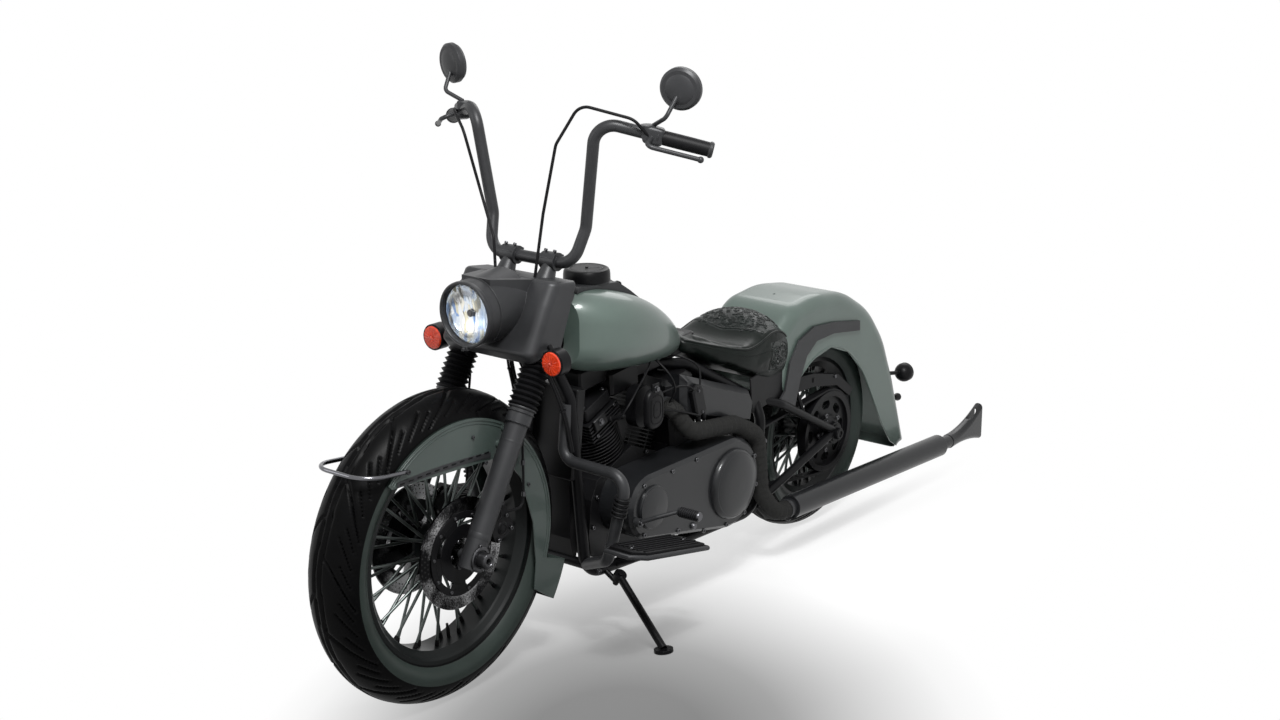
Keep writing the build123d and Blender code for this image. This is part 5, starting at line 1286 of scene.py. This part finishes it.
def leaf(cx, cy, length, turn):
    """Pointed leaf outline in the plane, with a midrib."""
    side = []
    for k in range(15):
        t = k / 14
        w = 0.36 * length * math.sin(math.pi * t ** 0.75) * (1 - 0.35 * t)
        side.append((t * length, w))
    loop = side + [(x, -y) for x, y in reversed(side[:-1])]
    rib = [(0.1 * length + 0.75 * length * k / 6, 0.0) for k in range(7)]
    c, s = math.cos(turn), math.sin(turn)
    return [[(cx + x * c - y * s, cy + x * s + y * c) for x, y in line] for line in (loop, rib)]


tooling = Bunch()


def lay(points, radius, from_side=0):
    """A raised line on the saddle."""
    line = laid(points, from_side)
    if line:
        tooling.put(*tube(line, radius, 6), 0)


def leaves(cx, cy, size, angles, long, bend, widths, from_side=0):
    """Leaves round a scroll, each with its rib."""
    for a in angles:
        place = (cx + size * 0.95 * math.cos(a), cy + size * 0.95 * math.sin(a))
        for line, width in zip(leaf(*place, size * long, a + bend), widths):
            lay(line, width, from_side)


# Place, size, turn and hand of each scroll, on top and on the flanks
MOTIFS = [
    (-0.49, 0.0, 0.026, 0.0, 1), (-0.455, 0.04, 0.021, 2.2, -1), (-0.505, 0.06, 0.022, 0.8, 1),
    (-0.475, 0.092, 0.017, 3.6, -1), (-0.535, 0.024, 0.018, 4.0, 1), (-0.532, 0.088, 0.016, 5.0, -1),
    (-0.43, 0.078, 0.015, 1.0, 1), (-0.432, 0.01, 0.013, 5.4, -1),
]
for cx, cy, size, turn, hand in MOTIFS:
    for side in ((1, -1) if cy > 0.005 else (1,)):
        lay(scroll(cx, side * cy, size, side * turn, side * hand), 0.0019)
        lay(scroll(cx, side * cy, size * 0.8, side * (turn + 0.25), side * hand, 1.2), 0.001)
        angles = [side * (turn + 0.5 + 1.25 * k) for k in range(4)]
        leaves(cx, side * cy, size, angles, 0.85, 0.5 * side * hand, (0.0013, 0.0009))
edge_line = [(-0.412 - 0.35 * abs(y / 1000) ** 1.2, y / 1000) for y in range(-126, 127, 6)]
lay(edge_line, 0.0022)
lay([(x - 0.006, y) for x, y in edge_line], 0.0011)
SIDE_MOTIFS = [
    (-0.525, 0.645, 0.02, 0.5, 1), (-0.487, 0.655, 0.017, 2.5, -1),
    (-0.5, 0.618, 0.014, 4.2, 1), (-0.472, 0.622, 0.011, 1.2, -1),
]
BORDER = [
    (-0.462, 0.604), (-0.458, 0.65), (-0.47, 0.684), (-0.51, 0.684), (-0.545, 0.664), (-0.552, 0.63),
    (-0.536, 0.604), (-0.5, 0.598), (-0.462, 0.604),
]
for side in (-1, 1):
    for cx, cz, size, turn, hand in SIDE_MOTIFS:
        lay(scroll(cx, cz, size, turn, hand), 0.0018, side)
        angles = [turn + 0.5 + 1.3 * k for k in range(4)]
        leaves(cx, cz, size, angles, 0.8, 0.5 * hand, (0.0012, 0.0009), side)
    lay([(p.x, p.y) for p in smooth_path([(x, z, 0) for x, z in BORDER], 6)], 0.0016, side)
    rim = [(x, side * half * 0.975, z + 0.001) for x, half, z, top, low in SEAT[1:-1]]
    seam = [(x, side * half, z - 0.35 * (z - low)) for x, half, z, top, low in SEAT[2:-2]]
    for line, lift, radius, sides in ((rim, 0.0008, 0.0032, 10), (seam, 0.0002, 0.0011, 6)):
        spots = [skin_tree.find_nearest(Vector(p)) for p in line]
        tooling.put(*tube(smooth_path([spot[0] + spot[1] * lift for spot in spots], 5), radius, sides), 1)
tooling.make("seat_tooling", "frame", [mat_tooled, mat_leather], 60)

# Floor with a painted shadow pool, light and the white surround


def seen(nt):
    """One where the camera, a gloss or a clear piece looks, else nought."""
    path = add(nt, "LightPath").outputs
    total = plus(nt, plus(nt, path["Is Camera Ray"], path["Is Glossy Ray"]), path["Is Transmission Ray"])
    return maths(nt, "MINIMUM", total, 1.0)


def either(nt, share, low, high, output):
    """Surface that goes from one shader to another by a share."""
    mix = add(nt, "MixShader")
    for source, key in ((share, 0), (low, 1), (high, 2)):
        wire(source, mix.inputs[key])
    wire(mix.outputs["Shader"], nt.nodes[output].inputs["Surface"])


floor_mat, nt, shader = tree("pale_floor_painted_shadow")
nt.nodes.remove(shader)
# Painted shadow: a soft dark pool on the floor, off to one side of the bike, a quarter of white at its middle and white
# at its rim; it tints both the diffuse, which also takes the real shadow, and the glow.
where = add(nt, "TexCoord").outputs["Object"]
shift = add(nt, "VectorMath", operation="SUBTRACT")
shift.inputs[1].default_value = (1.08, 0.5, 0.0)
turn = add(nt, "VectorRotate", rotation_type="Z_AXIS", Angle=math.radians(140.5))
stretch = add(nt, "VectorMath", operation="MULTIPLY")
stretch.inputs[1].default_value = (0.66, 1.08, 1.0)
deep = add(nt, "VectorMath", operation="LENGTH")
source = where
for step in (shift, turn, stretch, deep):
    wire(source, step.inputs[0])
    source = step.outputs[0]
shades = [(0.24, 0.25), (0.44, 0.37), (0.66, 0.66), (0.88, 0.93), (1.0, 1.0)]
shade = ramp(nt, deep.outputs["Value"], [(place, (v, v, v)) for place, v in shades])
diffuse = add(nt, "BsdfDiffuse")
glow = add(nt, "Emission")
for node in (diffuse, glow):
    wire(shade, node.inputs["Color"])
squash = add(nt, "Mapping", Scale=(0.62, 1.05, 1.0))
far = add(nt, "VectorMath", operation="LENGTH")
fade = add(nt, "MapRange", interpolation_type="SMOOTHSTEP", From_Min=0.3, From_Max=0.95, To_Min=0.66, To_Max=1.0)
wire(where, squash.inputs["Vector"])
wire(squash.outputs["Vector"], far.inputs[0])
wire(far.outputs["Value"], fade.inputs["Value"])
share = times(nt, fade.outputs["Result"], seen(nt))
either(nt, share, diffuse.outputs["BSDF"], glow.outputs["Emission"], "Material Output")
REACH = 12
mesh = bpy.data.meshes.new("floor")
mesh.from_pydata([(REACH * x, REACH * y, 0) for x, y in ((-1, -1), (1, -1), (1, 1), (-1, 1))], [], [(0, 1, 2, 3)])
mesh.materials.append(floor_mat)
floor = link("floor", mesh)
floor.location = (0.0, 0.0, -0.0015)

world = bpy.data.worlds.new("studio")
bpy.context.scene.world = world
world.use_nodes = True
nt = world.node_tree
back = give(nt.nodes["Background"], Color=(0.27, 0.27, 0.27, 1), Strength=1.0)
white = add(nt, "Background", Color=(1, 1, 1, 1))
either(nt, seen(nt), back.outputs["Background"], white.outputs["Background"], "World Output")


def lamp(name, place, target, size, power):
    """Soft round lamp aimed at a point."""
    data = bpy.data.lights.new(name, "AREA")
    data.shape = "DISK"
    data.size = size
    data.energy = power
    obj = link(name, data)
    obj.location = place
    obj.rotation_euler = (Vector(target) - Vector(place)).to_track_quat("-Z", "Y").to_euler()


lamp("key", (1.9, 2.2, 3.8), (0, 0, 0.5), 1.6, 200)
lamp("spark", (1.5, 1.7, 3.0), (0, 0, 0.7), 0.24, 34)
lamp("fill", (3.8, -2.6, 2.6), (0.3, 0, 0.6), 2.5, 40)
lamp("back", (-3.4, -1.0, 3.4), (-0.3, 0, 0.5), 2.5, 40)
